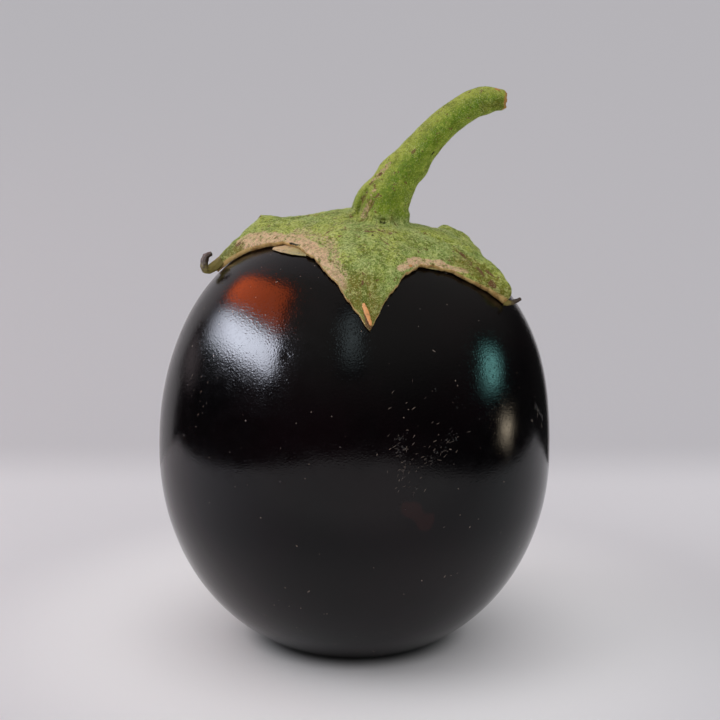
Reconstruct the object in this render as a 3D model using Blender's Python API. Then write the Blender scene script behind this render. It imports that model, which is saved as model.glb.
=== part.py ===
"""A round eggplant that stands on its blossom end: the fruit, and the green calyx with its stem.

The origin is the middle of the flat spot that the fruit rests on, +Z is up and -Y is the front.
Sizes are in millimetres, and the meshes are scaled to metres when they are made.
The calyx is drawn on a flat plan and wrapped over the top of the fruit. A point of the plan lies as far
from the plan's origin as the same point lies from the fruit's crown, measured along the skin.
"""

import bisect
import collections
import math

import bmesh
import bpy
from mathutils import Vector

MM = 0.001
COLLECTION = "round_eggplant"

# The fruit's profile is one superellipse above its widest level and another below it.
# It leans a little to the left in its middle, and its crown has a shallow dip at the back right.
FRUIT_RADIUS = 53.1
WIDEST_Z = 52.6
UPPER_HEIGHT = 61.7
UPPER_POWER = 2.29
LOWER_HEIGHT = 57.6
LOWER_POWER = 2.08
FOOT_BLEND = 1.2
FLATNESS = 0.012
SWAY = 0.55
SWAY_Z = 85.0
SWAY_SPAN = 17.0
DIP_DEPTH = 3.6
DIP_PLACE = (17.0, 14.0)
DIP_SPAN = 6.5
FRUIT_SEGMENTS = 60
FRUIT_RINGS = 38

# The calyx: it keeps clear of the fruit's skin, is thickest round the stem's foot, and has a thin waved rim.
CLEARANCE = 0.35
RIM_THICKNESS = 0.9
RIM_ROUNDING = 12.0
FOOT = Vector((6.8, 1.0))
FOOT_RADIUS = 10.5
FOOT_THICKNESS = 2.0
FOOT_LEAN = 0.7
FOOT_LEAN_ANGLE = 165.0
BODY_THICKNESS = 1.15
BODY_REACH = 6.0
EDGE_WAVE = 0.4
EDGE_WAVES = 31
EDGE_SWELLS = 7
WAVE_LIFT = 0.3
LIFT_POWER = 5
CROWN_STEPS = 360
CROWN_SPAN = 1.2
SHARP_ANGLE = 50.0
CREST_POWER = 1.6
SAMPLES_AN_EDGE = 9
UNDER_SHARES = (0.2, 0.45, 0.65, 0.82, 0.93, 1.0)
TOP_SHARES = (1.0, 0.985, 0.95, 0.89, 0.81, 0.71, 0.6, 0.48, 0.36, 0.24, 0.12, 0.0)

# Angles are in degrees round the stem's foot on the plan, anticlockwise from +X. Reaches are from the foot.
Lobe = collections.namedtuple(
    "Lobe",
    "name tip_angle tip_reach spread_before spread_after taper"
    " crest_angle crest_reach crest tip_crest rise fall width",
)
Valley = collections.namedtuple("Valley", "angle reach shoulder_before shoulder_after lift")

# Spreads are the angles between a lobe's midline and its two edges at the tip. Taper is how far they hold.
# The crest is the lobe's fleshy ridge: its highest place, its height there and at the tip, its half width.
# It climbs to that place by the power rise, and goes on to the tip by the power fall.
LOBES = (
    Lobe("front", -93.3, 49.2, 44.0, 26.0, 10.0, -95.0, 26.0, 1.2, 0.5, 2.0, 1.0, 9.0),
    Lobe("right", -24.6, 40.7, 61.0, 45.0, 8.0, -16.0, 26.0, 1.0, 4.5, 2.0, 1.0, 8.0),
    Lobe("back_right", 33.0, 37.0, 45.0, 35.0, 9.0, 40.0, 21.0, 3.6, 1.6, 5.0, 1.0, 7.0),
    Lobe("back_left", 112.0, 38.0, 40.0, 40.0, 9.0, 120.0, 20.0, 1.3, 1.2, 2.0, 1.0, 12.0),
    Lobe("left", 177.6, 47.4, 30.0, 30.0, 10.0, 160.0, 31.0, 6.2, 1.8, 7.0, 0.5, 13.0),
)
# Each valley lies after the lobe of the same place in LOBES. Lift is how far its rim stands off the fruit.
VALLEYS = (
    Valley(-64.3, 27.6, 6.0, 8.0, 0.35),
    Valley(12.0, 26.0, 6.0, 4.0, 0.4),
    Valley(57.0, 18.0, 4.0, 6.0, 0.2),
    Valley(143.0, 25.0, 6.0, 6.0, 0.4),
    Valley(214.0, 27.8, 4.0, 10.0, 0.4),
)

# The stem's stations: X, Y, Z and the stem's diameter there.
STEM_STATIONS = (
    (7.0, 1.0, 117.2, 15.3),
    (7.9, 1.0, 120.6, 14.0),
    (9.9, 1.0, 124.0, 11.8),
    (13.2, 1.1, 129.3, 9.7),
    (18.5, 1.3, 135.8, 8.4),
    (24.4, 1.3, 141.8, 7.8),
    (30.9, 1.1, 146.3, 7.3),
    (35.4, 1.0, 147.6, 7.0),
    (39.9, 1.0, 147.5, 3.6),
)
STEM_RINGS = 19
STEM_RIBS = 5
STEM_RIB_DEPTH = 0.045
STEM_CUT_DEPTH = 0.5
STEM_CUT_RING = 0.6
STEM_DIRECTION_STEP = 0.01
# How far each fillet ring has moved in and up between the calyx's top and the stem.
FILLET = ((0.42, 0.12), (0.72, 0.36), (0.9, 0.68))

Knob = collections.namedtuple("Knob", "along angle height length width")
# Along runs from 0 at the stem's foot to 1 at its cut, and the angle is round the stem from its right side.
KNOBS = (
    Knob(0.41, 352.0, 0.8, 0.05, 40.0),
    Knob(0.34, 180.0, 0.7, 0.05, 45.0),
    Knob(0.12, 206.0, 0.5, 0.14, 13.0),
    Knob(0.11, 240.0, 0.7, 0.12, 12.0),
    Knob(0.04, 172.0, 0.3, 0.08, 16.0),
    Knob(0.02, 272.0, 0.8, 0.04, 18.0),
)

Spike = collections.namedtuple("Spike", "name route radius tip_radius")
# The dried tips: points of each route are in the world, from inside the lobe to the free end.
SPIKES = (
    Spike(
        "left_hook",
        (
            (-35.6, 1.5, 104.5),
            (-38.0, 1.2, 102.7),
            (-39.7, 0.9, 102.2),
            (-40.2, 0.8, 103.8),
            (-39.7, 0.8, 105.6),
            (-38.3, 0.8, 106.5),
        ),
        0.9,
        0.5,
    ),
    Spike("right_stub", ((39.2, -14.2, 96.4), (41.2, -14.4, 96.3), (43.6, -14.8, 97.4)), 0.7, 0.4),
    Spike("front_spine", ((2.2, -38.8, 102.2), (3.1, -40.4, 99.7), (4.3, -42.1, 96.6)), 0.6, 0.3),
)
SPIKE_SIDES = 7
SPIKE_RINGS = 10

SKIN_COLOUR = (0.012, 0.006, 0.012)
SKIN_ROUGHNESS = 0.2
GREEN_COLOUR = (0.16, 0.24, 0.06)
GREEN_ROUGHNESS = 0.7
DRY_COLOUR = (0.09, 0.05, 0.03)
DRY_ROUGHNESS = 0.8


def make_material(name, colour, roughness):
    material = bpy.data.materials.new(name)
    material.use_nodes = True
    material.diffuse_color = (*colour, 1.0)
    shader = material.node_tree.nodes["Principled BSDF"]
    shader.inputs["Base Color"].default_value = (*colour, 1.0)
    shader.inputs["Roughness"].default_value = roughness
    shader.inputs["Metallic"].default_value = 0.0
    return material


def finish_object(name, mesh, material, collection):
    """Turns a mesh in millimetres into a smooth-shaded object in metres."""
    data = bpy.data.meshes.new(name)
    bmesh.ops.scale(mesh, vec=(MM, MM, MM), verts=mesh.verts)
    bmesh.ops.recalc_face_normals(mesh, faces=mesh.faces)
    mesh.to_mesh(data)
    mesh.free()
    data.materials.append(material)
    data.shade_smooth()
    data.set_sharp_from_angle(angle=math.radians(SHARP_ANGLE))
    obj = bpy.data.objects.new(name, data)
    collection.objects.link(obj)
    return obj


# The fruit

def profile(latitude):
    """Radius and height of the skin at a latitude in radians."""
    upper = latitude >= 0.0
    power = UPPER_POWER if upper else LOWER_POWER
    reach = UPPER_HEIGHT if upper else LOWER_HEIGHT
    radius = FRUIT_RADIUS * max(0.0, math.cos(latitude)) ** (2.0 / power)
    rise = reach * abs(math.sin(latitude)) ** (2.0 / power)
    height = WIDEST_Z + math.copysign(rise, latitude)
    return radius, settle(height)


def settle(height):
    """Flattens what would reach below the surface that the fruit stands on, with a soft edge."""
    if height >= FOOT_BLEND:
        return height
    if height <= -FOOT_BLEND:
        return 0.0
    return (height + FOOT_BLEND) ** 2 / (4.0 * FOOT_BLEND)


def skin_place(radius, height, azimuth):
    """A skin point, with the fruit's flattening, its lean to the left and the crown's dip."""
    sway = SWAY * math.exp(-(((height - SWAY_Z) / SWAY_SPAN) ** 2))
    across = radius * math.cos(azimuth) + sway
    depth = radius * (1.0 - FLATNESS) * math.sin(azimuth)
    if height > WIDEST_Z:
        away = math.hypot(across - DIP_PLACE[0], depth - DIP_PLACE[1]) / DIP_SPAN
        height -= DIP_DEPTH * math.exp(-away * away)
    return Vector((across, depth, height))


def make_fruit(collection):
    mesh = bmesh.new()
    bmesh.ops.create_uvsphere(mesh, u_segments=FRUIT_SEGMENTS, v_segments=FRUIT_RINGS, radius=1.0)
    for vert in mesh.verts:
        latitude = math.asin(max(-1.0, min(1.0, vert.co.z)))
        azimuth = math.atan2(vert.co.y, vert.co.x)
        radius, height = profile(latitude)
        vert.co = skin_place(radius, height, azimuth)
    material = make_material("fruit_skin", SKIN_COLOUR, SKIN_ROUGHNESS)
    return finish_object("fruit", mesh, material, collection)


# The plan that the calyx is drawn on

TableRow = collections.namedtuple("TableRow", "arc radius height out up")


def crown_table():
    """The skin from the crown down past the widest level, by arc length, with its outward normal."""
    rows = []
    arc = 0.0
    last = profile(math.pi / 2)
    for step in range(1, CROWN_STEPS):
        latitude = math.pi / 2 * (1.0 - step / CROWN_STEPS * CROWN_SPAN)
        radius, height = profile(latitude)
        length = math.hypot(radius - last[0], height - last[1])
        out = (last[1] - height) / length
        up = (radius - last[0]) / length
        arc += length
        rows.append(TableRow(arc, radius, height, out, up))
        last = (radius, height)
    return [TableRow(0.0, 0.0, WIDEST_Z + UPPER_HEIGHT, 0.0, 1.0)] + rows


CROWN = crown_table()
CROWN_ARCS = [row.arc for row in CROWN]


def wrap(point, lift):
    """The place over the skin of a point of the plan, this far off the skin."""
    arc = point.length
    azimuth = math.atan2(point.y, point.x)
    after = min(bisect.bisect_right(CROWN_ARCS, arc), len(CROWN) - 1)
    low = CROWN[after - 1]
    high = CROWN[after]
    share = (arc - low.arc) / (high.arc - low.arc)
    radius, height, out, up = (a + (b - a) * share for a, b in zip(low[1:], high[1:]))
    place = skin_place(radius, height, azimuth)
    return place + lift * Vector((out * math.cos(azimuth), out * math.sin(azimuth), up))


def polar(angle, reach):
    turn = math.radians(angle)
    return Vector((math.cos(turn), math.sin(turn))) * reach


def bezier(a, b, c, d, t):
    s = 1.0 - t
    return a * s**3 + b * (3 * s * s * t) + c * (3 * s * t * t) + d * t**3


def lobe_edge(valley, lobe, side):
    """One edge of a lobe, from the valley to the tip. Side is -1 before the tip and 1 after it."""
    start = polar(valley.angle, valley.reach)
    tip = polar(lobe.tip_angle, lobe.tip_reach)
    shoulder = valley.shoulder_after if side < 0 else valley.shoulder_before
    spread = lobe.spread_before if side < 0 else lobe.spread_after
    along = polar(valley.angle + 90.0, 1.0) * -side * shoulder
    arrival = polar(lobe.tip_angle - side * spread, 1.0) * lobe.taper
    return [start, start + along, tip - arrival, tip]


RimPoint = collections.namedtuple("RimPoint", "place angle lift")


def calyx_rim():
    """The rim's points on the plan, from the foot, with their angles and how far each is lifted off."""
    rim = []
    for index, lobe in enumerate(LOBES):
        before = VALLEYS[index - 1]
        after = VALLEYS[index]
        rising = lobe_edge(before, lobe, -1)
        falling = lobe_edge(after, lobe, 1)
        for step in range(SAMPLES_AN_EDGE):
            t = step / SAMPLES_AN_EDGE
            rim.append((bezier(*rising, t), before.lift * (1.0 - t)))
        for step in range(SAMPLES_AN_EDGE):
            t = 1.0 - step / SAMPLES_AN_EDGE
            rim.append((bezier(*falling, t), after.lift * (1.0 - t)))
    points = []
    for place, lift in rim:
        angle = math.atan2(place.y, place.x)
        wave = EDGE_WAVE * math.sin(EDGE_WAVES * angle) * math.cos(EDGE_SWELLS * angle)
        points.append(RimPoint(place * (1.0 + wave / place.length), angle, lift + WAVE_LIFT * abs(wave)))
    return points


def turn_between(angle, other):
    """The signed angle in degrees from one direction to another."""
    return (angle - other + 180.0) % 360.0 - 180.0


def crest_height(lobe, angle, reach):
    """What one lobe's fleshy ridge adds to the calyx at a point of the plan."""
    if reach < lobe.crest_reach:
        height = lobe.crest * (reach / lobe.crest_reach) ** lobe.rise
        ridge_angle = lobe.crest_angle
    else:
        run = min(1.0, (reach - lobe.crest_reach) / (lobe.tip_reach - lobe.crest_reach))
        height = lobe.crest + (lobe.tip_crest - lobe.crest) * run**lobe.fall
        ridge_angle = lobe.crest_angle + turn_between(lobe.tip_angle, lobe.crest_angle) * run
    across = math.radians(turn_between(angle, ridge_angle)) * reach / lobe.width
    return height * math.exp(-abs(across) ** CREST_POWER)


def calyx_thickness(place, inward):
    """The calyx's thickness at a point of the plan. Inward is 0 at the rim and 1 at the stem's foot."""
    reach = place.length
    angle = math.degrees(math.atan2(place.y, place.x))
    fade = math.exp(-(((reach - FOOT_RADIUS) / BODY_REACH) ** 2))
    foot = FOOT_THICKNESS + FOOT_LEAN * math.cos(math.radians(angle - FOOT_LEAN_ANGLE))
    body = BODY_THICKNESS + (foot - BODY_THICKNESS) * fade
    ridges = sum(crest_height(lobe, angle, reach) for lobe in LOBES)
    rounding = math.sqrt(1.0 - (1.0 - inward) ** RIM_ROUNDING)
    return RIM_THICKNESS + (body + ridges - RIM_THICKNESS) * rounding


def under_ring(rim, share):
    """A ring of the calyx's underside: it hugs the fruit, and lifts off towards the rim."""
    ring = []
    for point in rim:
        place = FOOT + point.place * share
        ring.append(wrap(place, CLEARANCE + point.lift * share**LIFT_POWER))
    return ring


def top_ring(rim, share):
    """A ring of the calyx's top, from the rim (share = 1) to the stem's foot (share = 0)."""
    ring = []
    for point in rim:
        inner = polar(math.degrees(point.angle), FOOT_RADIUS)
        local = inner + (point.place - inner) * share
        thickness = calyx_thickness(local, 1.0 - share)
        ring.append(wrap(FOOT + local, CLEARANCE + point.lift * share**LIFT_POWER + thickness))
    return ring


# The stem

def smooth_station(t):
    """A station on a smooth curve through STEM_STATIONS, t from 0 to 1."""
    spans = len(STEM_STATIONS) - 1
    index = min(int(t * spans), spans - 1)
    local = t * spans - index
    picked = [STEM_STATIONS[max(0, min(spans, index + offset))] for offset in (-1, 0, 1, 2)]
    before, start, end, after = picked
    values = []
    for p, a, b, n in zip(before, start, end, after):
        curve = (2 * p - 5 * a + 4 * b - n) * local**2 + (3 * a - p - 3 * b + n) * local**3
        values.append(0.5 * (2 * a + (b - p) * local + curve))
    return Vector(values[:3]), values[3]


def stem_direction(t):
    ahead = smooth_station(min(1.0, t + STEM_DIRECTION_STEP))[0]
    behind = smooth_station(max(0.0, t - STEM_DIRECTION_STEP))[0]
    return (ahead - behind).normalized()


def stem_ring(rim, t):
    """A ring square to the stem, with its ribs and knobs."""
    centre, diameter = smooth_station(t)
    forward = stem_direction(t)
    back = Vector((0.0, 1.0, 0.0))
    right = back.cross(forward).normalized()
    back = forward.cross(right)
    ring = []
    for point in rim:
        rib = 1.0 + STEM_RIB_DEPTH * math.cos(STEM_RIBS * (point.angle - math.radians(LOBES[0].tip_angle)))
        radius = diameter / 2.0 * rib
        for knob in KNOBS:
            along = (t - knob.along) / knob.length
            across = turn_between(math.degrees(point.angle), knob.angle) / knob.width
            radius += knob.height * math.exp(-along * along - across * across)
        ring.append(centre + (right * math.cos(point.angle) + back * math.sin(point.angle)) * radius)
    return ring


def fillet_rings(foot, stem):
    """Rings that sweep from the calyx's top up into the stem."""
    rings = []
    for out, up in FILLET:
        ring = []
        for low, high in zip(foot, stem):
            way = high - low
            ring.append(low + Vector((way.x * out, way.y * out, way.z * up)))
        rings.append(ring)
    return rings


# The calyx and stem as one loft

def add_ring(mesh, ring):
    return [mesh.verts.new(place) for place in ring]


def bridge(mesh, lower, upper):
    """Joins two rings with triangles that run alike all the way round."""
    count = len(lower)
    for index in range(count):
        after = (index + 1) % count
        mesh.faces.new((lower[index], lower[after], upper[after]))
        mesh.faces.new((lower[index], upper[after], upper[index]))


def close_end(mesh, ring, pole):
    count = len(ring)
    for index in range(count):
        mesh.faces.new((ring[index], ring[(index + 1) % count], pole))


def make_calyx(collection):
    rim = calyx_rim()
    rings = [under_ring(rim, share) for share in UNDER_SHARES]
    rings += [top_ring(rim, share) for share in TOP_SHARES]
    stem = [stem_ring(rim, step / (STEM_RINGS - 1)) for step in range(STEM_RINGS)]
    rings += fillet_rings(rings[-1], stem[0])
    rings += stem
    cut_centre, _ = smooth_station(1.0)
    cut_centre = cut_centre - stem_direction(1.0) * STEM_CUT_DEPTH
    rings.append([cut_centre.lerp(place, STEM_CUT_RING) for place in stem[-1]])
    mesh = bmesh.new()
    loops = [add_ring(mesh, ring) for ring in rings]
    for lower, upper in zip(loops, loops[1:]):
        bridge(mesh, lower, upper)
    close_end(mesh, loops[0], mesh.verts.new(wrap(FOOT, CLEARANCE)))
    close_end(mesh, loops[-1], mesh.verts.new(cut_centre))
    material = make_material("calyx_green", GREEN_COLOUR, GREEN_ROUGHNESS)
    return finish_object("calyx_and_stem", mesh, material, collection)


def make_spike(spike, collection):
    """A dried tip: a tapering tube along a smooth route through its points."""
    mesh = bmesh.new()
    spans = len(spike.route) - 1
    loops = []
    for step in range(SPIKE_RINGS):
        t = step / (SPIKE_RINGS - 1)
        index = min(int(t * spans), spans - 1)
        local = t * spans - index
        points = [Vector(spike.route[max(0, min(spans, index + offset))]) for offset in (-1, 0, 1, 2)]
        before, start, end, after = points
        bend = (2 * before - 5 * start + 4 * end - after) * local**2
        bend += (3 * start - before - 3 * end + after) * local**3
        centre = 0.5 * (2 * start + (end - before) * local + bend)
        forward = (end - start).normalized()
        side = Vector((0.0, 1.0, 0.0)).cross(forward).normalized()
        other = forward.cross(side)
        radius = spike.radius + (spike.tip_radius - spike.radius) * t
        ring = []
        for corner in range(SPIKE_SIDES):
            turn = 2.0 * math.pi * corner / SPIKE_SIDES
            ring.append(centre + (side * math.cos(turn) + other * math.sin(turn)) * radius)
        loops.append(add_ring(mesh, ring))
    for lower, upper in zip(loops, loops[1:]):
        bridge(mesh, lower, upper)
    close_end(mesh, loops[0], mesh.verts.new(Vector(spike.route[0])))
    close_end(mesh, loops[-1], mesh.verts.new(Vector(spike.route[-1])))
    material = make_material(spike.name, DRY_COLOUR, DRY_ROUGHNESS)
    return finish_object(spike.name, mesh, material, collection)


def fuse(target, helpers):
    """Makes the helpers part of the target's mesh and removes them."""
    for helper in helpers:
        modifier = target.modifiers.new(helper.name, "BOOLEAN")
        modifier.operation = "UNION"
        modifier.solver = "EXACT"
        modifier.object = helper
    graph = bpy.context.evaluated_depsgraph_get()
    joined = bpy.data.meshes.new_from_object(target.evaluated_get(graph))
    target.modifiers.clear()
    target.data = joined
    for helper in helpers:
        bpy.data.objects.remove(helper, do_unlink=True)


def main():
    for obj in list(bpy.data.objects):
        bpy.data.objects.remove(obj, do_unlink=True)
    collection = bpy.data.collections.new(COLLECTION)
    bpy.context.scene.collection.children.link(collection)
    make_fruit(collection)
    calyx = make_calyx(collection)
    spikes = [make_spike(spike, collection) for spike in SPIKES]
    fuse(calyx, spikes)


main()
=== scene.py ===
"""The looks of the round eggplant: its skin, calyx, stem, dried tips and hairs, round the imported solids.

Shapes are worked out in millimetres in the part's own frame (origin under the fruit, +Z up, -Y the front)
and become metres when a mesh is made. The fruit and the calyx repeat the solids' formulas with far more
points, and small relief is added to them along their normals.
"""

import collections
import math

import bpy
import numpy as np
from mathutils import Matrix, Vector, noise


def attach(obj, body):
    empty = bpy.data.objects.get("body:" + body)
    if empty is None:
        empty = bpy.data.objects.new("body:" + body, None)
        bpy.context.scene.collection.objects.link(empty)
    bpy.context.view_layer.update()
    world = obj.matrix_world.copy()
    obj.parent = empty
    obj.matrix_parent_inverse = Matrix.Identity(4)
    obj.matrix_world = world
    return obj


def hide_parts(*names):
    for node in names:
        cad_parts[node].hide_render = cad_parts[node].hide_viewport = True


MM = 0.001
SEED = 20261
BODY = "root"
TINY = 1e-9

# The fruit's profile, as in the solids
FRUIT_RADIUS = 53.1
WIDEST_Z = 52.6
UPPER_HEIGHT = 61.7
UPPER_POWER = 2.29
LOWER_HEIGHT = 57.6
LOWER_POWER = 2.08
FOOT_BLEND = 1.2
FLATNESS = 0.012
SWAY = 0.55
SWAY_Z = 85.0
SWAY_SPAN = 17.0
DIP_DEPTH = 3.6
DIP_PLACE = (17.0, 14.0)
DIP_SPAN = 6.5
FRUIT_COLUMNS = 380
FRUIT_ROWS = 230

# The calyx, as in the solids
CLEARANCE = 0.35
RIM_THICKNESS = 0.5
RIM_DROP = 0.2
RIM_ROUNDING = 12.0
FOOT = (6.8, 1.0)
FOOT_RADIUS = 10.5
FOOT_THICKNESS = 2.0
FOOT_LEAN = 0.7
FOOT_LEAN_ANGLE = 165.0
BODY_THICKNESS = 1.15
BODY_REACH = 6.0
EDGE_WAVE = 0.4
EDGE_WAVES = 31
EDGE_SWELLS = 7
WAVE_LIFT = 0.3
LIFT_POWER = 5
CREST_POWER = 1.6
SAMPLES_AN_EDGE = 52
CROWN_STEPS = 1440
CROWN_SPAN = 1.2
LEAST_HALF_WIDTH = 0.3

Lobe = collections.namedtuple(
    "Lobe",
    "name tip_angle tip_reach spread_before spread_after taper"
    " crest_angle crest_reach crest tip_crest rise fall width",
)
Valley = collections.namedtuple("Valley", "angle reach shoulder_before shoulder_after lift")
LOBES = (
    Lobe("front", -93.3, 49.2, 44.0, 26.0, 10.0, -95.0, 26.0, 1.2, 0.5, 2.0, 1.0, 9.0),
    Lobe("right", -24.6, 40.7, 61.0, 45.0, 8.0, -16.0, 26.0, 1.0, 4.5, 2.0, 1.0, 8.0),
    Lobe("back_right", 33.0, 37.0, 45.0, 35.0, 9.0, 40.0, 21.0, 3.6, 1.6, 5.0, 1.0, 7.0),
    Lobe("back_left", 112.0, 38.0, 40.0, 40.0, 9.0, 120.0, 20.0, 1.3, 1.2, 2.0, 1.0, 12.0),
    Lobe("left", 177.6, 47.4, 30.0, 30.0, 10.0, 160.0, 31.0, 6.2, 1.8, 7.0, 0.5, 13.0),
)
VALLEYS = (
    Valley(-64.3, 27.6, 6.0, 8.0, 0.35),
    Valley(12.0, 26.0, 6.0, 4.0, 0.4),
    Valley(57.0, 18.0, 4.0, 6.0, 0.2),
    Valley(143.0, 25.0, 6.0, 6.0, 0.4),
    Valley(214.0, 27.8, 4.0, 10.0, 0.4),
)

# The stem, as in the solids: X, Y, Z and diameter of each station
STEM_STATIONS = (
    (7.0, 1.0, 117.2, 15.3),
    (7.9, 1.0, 120.6, 14.0),
    (9.9, 1.0, 124.0, 11.8),
    (13.2, 1.1, 129.3, 9.7),
    (18.5, 1.3, 135.8, 8.4),
    (24.4, 1.3, 141.8, 7.8),
    (30.9, 1.1, 146.3, 7.3),
    (35.4, 1.0, 147.6, 7.0),
    (39.9, 1.0, 147.5, 3.6),
)
STEM_RIBS = 5
STEM_RIB_DEPTH = 0.045
STEM_CUT_DEPTH = 0.5
CUT_HOLLOW_POWER = 0.7
STEM_GRAIN_LENGTH = 60.0
STEM_DIRECTION_STEP = 0.01
Knob = collections.namedtuple("Knob", "along angle height length width")
KNOBS = (
    Knob(0.41, 352.0, 0.8, 0.05, 40.0),
    Knob(0.34, 180.0, 0.7, 0.05, 45.0),
    Knob(0.12, 206.0, 0.5, 0.14, 13.0),
    Knob(0.11, 240.0, 0.7, 0.12, 12.0),
    Knob(0.04, 172.0, 0.3, 0.08, 16.0),
    Knob(0.02, 272.0, 0.8, 0.04, 18.0),
)

# How finely the calyx's loft is cut: rings under it, over it, up the fillet, along the stem and over the cut.
# Shares are parts of the way from the middle to the edge.
UNDER_SHARES = (0.2, 0.55, 0.8, 0.93, 1.0)
TOP_RINGS = 62
TOP_RING_POWER = 1.35
FILLET_RINGS = 12
FILLET_POWER = 1.32
STEM_RINGS = 96
CUT_SHARES = (0.97, 0.9, 0.78, 0.62, 0.45, 0.25)

# The camera, which stands as the photo's did
CAMERA_PLACE = (1.49, -581.4, 222.2)
CAMERA_TILT = 76.0
CAMERA_LENS = 110.7
CAMERA_SENSOR = 36.0
CAMERA_RANGE = (0.01, 20.0)

# Relief from noise: its height and the width of its bumps in millimetres, the noise's seed and its octaves
Relief = collections.namedtuple("Relief", "height size seed octaves")
SEED_STEP = 17.3
BROAD_UNEVEN = Relief(0.10, 26.0, 1, 1)
FINE_UNEVEN = Relief(0.012, 6.0, 2, 1)
CAP_FIBRE = Relief(0.07, 1.0, 3, 2)
STEM_FIBRE = Relief(0.03, 1.0, 4, 2)
CALYX_LUMPS = Relief(0.40, 4.2, 5, 3)
CALYX_GRAINS = Relief(0.13, 1.2, 6, 1)
CUT_RAGGED = Relief(0.35, 0.9, 7, 2)
RIM_RAGGED = Relief(0.45, 1.6, 8, 2)
TIP_SHRIVELLED = Relief(0.14, 0.8, 20, 1)

# In the materials, a passage is where a value starts and ends, and what it becomes there if not 0 and 1.
# An edge is where a mask starts and is full, and how ragged a texture makes it. A texture is its scale,
# detail and roughness, and cells are a scale alone.

# The skin: the heights over which it grows uneven above the foot, its blossom scar underneath, and its gloss
UNEVEN_RISE = (0.2, 3.0)
SCAR_RADIUS = 7.0
SCAR_HOLLOW = 0.4
SCAR_TOP = 2.0
SKIN_IOR = 1.325
SKIN_ROUGHNESS = (0.3, 0.7, 0.11, 0.17)
CORK_ROUGHNESS = 0.45
SKIN_GRAIN = 0.000025
# The grain grows stronger between two heights in metres, from a low share of its depth to a high one.
GRAIN_RISE = (0.060, 0.080, 0.45, 1.2)
SKIN_BROAD = (28.0, 3.0)
SKIN_PATCH = (260.0, 3.0, 0.6)
SKIN_PEEL = (2100.0, 2.0)
SKIN_CRACKLE = (1100.0, 3.0, 0.7)
SKIN_PIMPLES = 1300.0
PIMPLE_DOMES = (0.0, 0.45, 1.0, 0.0)
PIMPLE_SHARE = 0.6
SCUFF_SHARE = 2.0
PLUM_PASSAGE = (0.4, 0.7)
RED_EDGE = (0.45, 0.8, 1.0)
SCUFF_EDGE = (0.72, 1.0, 2.2)
SCAR_EDGE = (0.4, 0.55, 0.8)
SKIN_BLACK = (0.0012, 0.0009, 0.0012)
SKIN_PLUM = (0.0035, 0.0015, 0.0022)
SKIN_RED = (0.012, 0.003, 0.003)
CORK = (0.035, 0.028, 0.027)
SCAR_BROWN = (0.16, 0.10, 0.06)

# The pale specks on the skin, in millimetres. They lie between two shares of its rows.
SPECKS = 460
SPECK_ROWS = (0.08, 0.9)
SPECK_SIDES = 7
SPECK_RAGGED = (0.75, 1.1)
SPECK_HEIGHT = 0.03
SPECK_STRAY = 0.45
SPECK_WIDTH = (0.07, 0.17)
SPECK_STRETCH = (1.5, 4.0)
SCRATCH_SHARE = 0.25
SCRATCH_WIDTH = (0.025, 0.05)
SCRATCH_LENGTH = (0.15, 0.7)
SCRATCH_WAY = np.array([1.0, 0.0, 0.8])
SCRATCH_TURN = 0.45
SPECK_TEXTURE = (300.0, 2.0)
SPECK_TONES = (0.35, 0.65)
SPECK_ROUGHNESS = 0.6
SPECK_LIGHT = (0.30, 0.23, 0.18)
SPECK_DARK = (0.06, 0.045, 0.04)

# The calyx's relief in millimetres. The first two say how many fibres run round it and round the stem.
CAP_FIBRES = 30.0
STEM_FIBRES = 9.0
FIBRE_STRETCH = 0.10
STEM_SMOOTHNESS = 0.65
STEM_BLEND = 5.0
END_SWELL = 0.45
END_PLACE = 0.965
END_SPAN = 0.03
END_HOLLOW = 0.05
# Where the relief fades in from the rim, where it fades out over the cut, and where the cut's edge is torn
RIM_FREE = (0.0, 0.05)
CUT_FREE = (0.0, 0.4)
CUT_EDGE = (0.985, 1.0)
# Ribs of a lobe: height, place across it, width, and where along it they fade out
RIBS = ((0.35, 0.0, 0.07, (30.0, 46.0)), (0.25, 0.5, 0.12, (20.0, 34.0)))
RIB_START = (FOOT_RADIUS - 1.0, FOOT_RADIUS + 8.0)
CREASE = 0.35
CREASE_WIDTH = 0.16
CREASE_REACH = 10.0
CREASE_STEM = (0.0, 0.22)
RIM_TAN = 0.28
# The stem's strips: where round it each has its middle, and its half width, in degrees. The light strip is
# painted light: a paler side of the stem, on its upper left where the key light falls.
STEM_STRIPS = {"light": (205.0, 30.0), "strip": (268.0, 24.0), "grey": (335.0, 28.0)}
STRIP_RISE = (0.02, 0.25)

# The calyx's textures. Streaks and dots follow its own grain, so they are drawn out along the lobes.
CALYX_TEXTURES = {
    "broad": (110.0, 3.0, 0.6),
    "blotch": (300.0, 3.0, 0.65),
    "crumbs": (620.0, 2.0, 0.6),
    "fuzz": (1400.0, 3.0, 0.7),
    "felt": (2600.0, 2.0, 0.6),
    "mottle": (1000.0, 3.0, 0.7),
}
STREAK_STRETCH = (46.0, 46.0, 1.5)
STREAK_TEXTURE = (1.0, 3.0, 0.65)
DOT_STRETCH = (32.0, 32.0, 1.5)
DOT_CELLS = 1.0
STAR_CELLS = 1500.0
FLECK_CELLS = 1150.0
# The edge of each mask of the calyx, after the texture that it follows
MASK_EDGES = {
    "strip": ("blotch", (0.3, 0.95, 0.7)),
    "pale": ("blotch", (0.3, 0.8, 0.6)),
    "scar": ("blotch", (0.34, 0.56, 0.9)),
    "olive": ("crumbs", (0.2, 0.9, 0.8)),
    "deep": ("blotch", (0.25, 0.65, 0.6)),
    "pink": ("fuzz", (0.62, 0.82, 1.6)),
    "rim": ("fuzz", (0.30, 0.70, 0.5)),
    "brown": ("crumbs", (0.45, 0.65, 0.7)),
    "dark": ("crumbs", (0.5, 0.7, 0.5)),
    "orange": ("fuzz", (0.5, 0.7, 0.8)),
}
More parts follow.
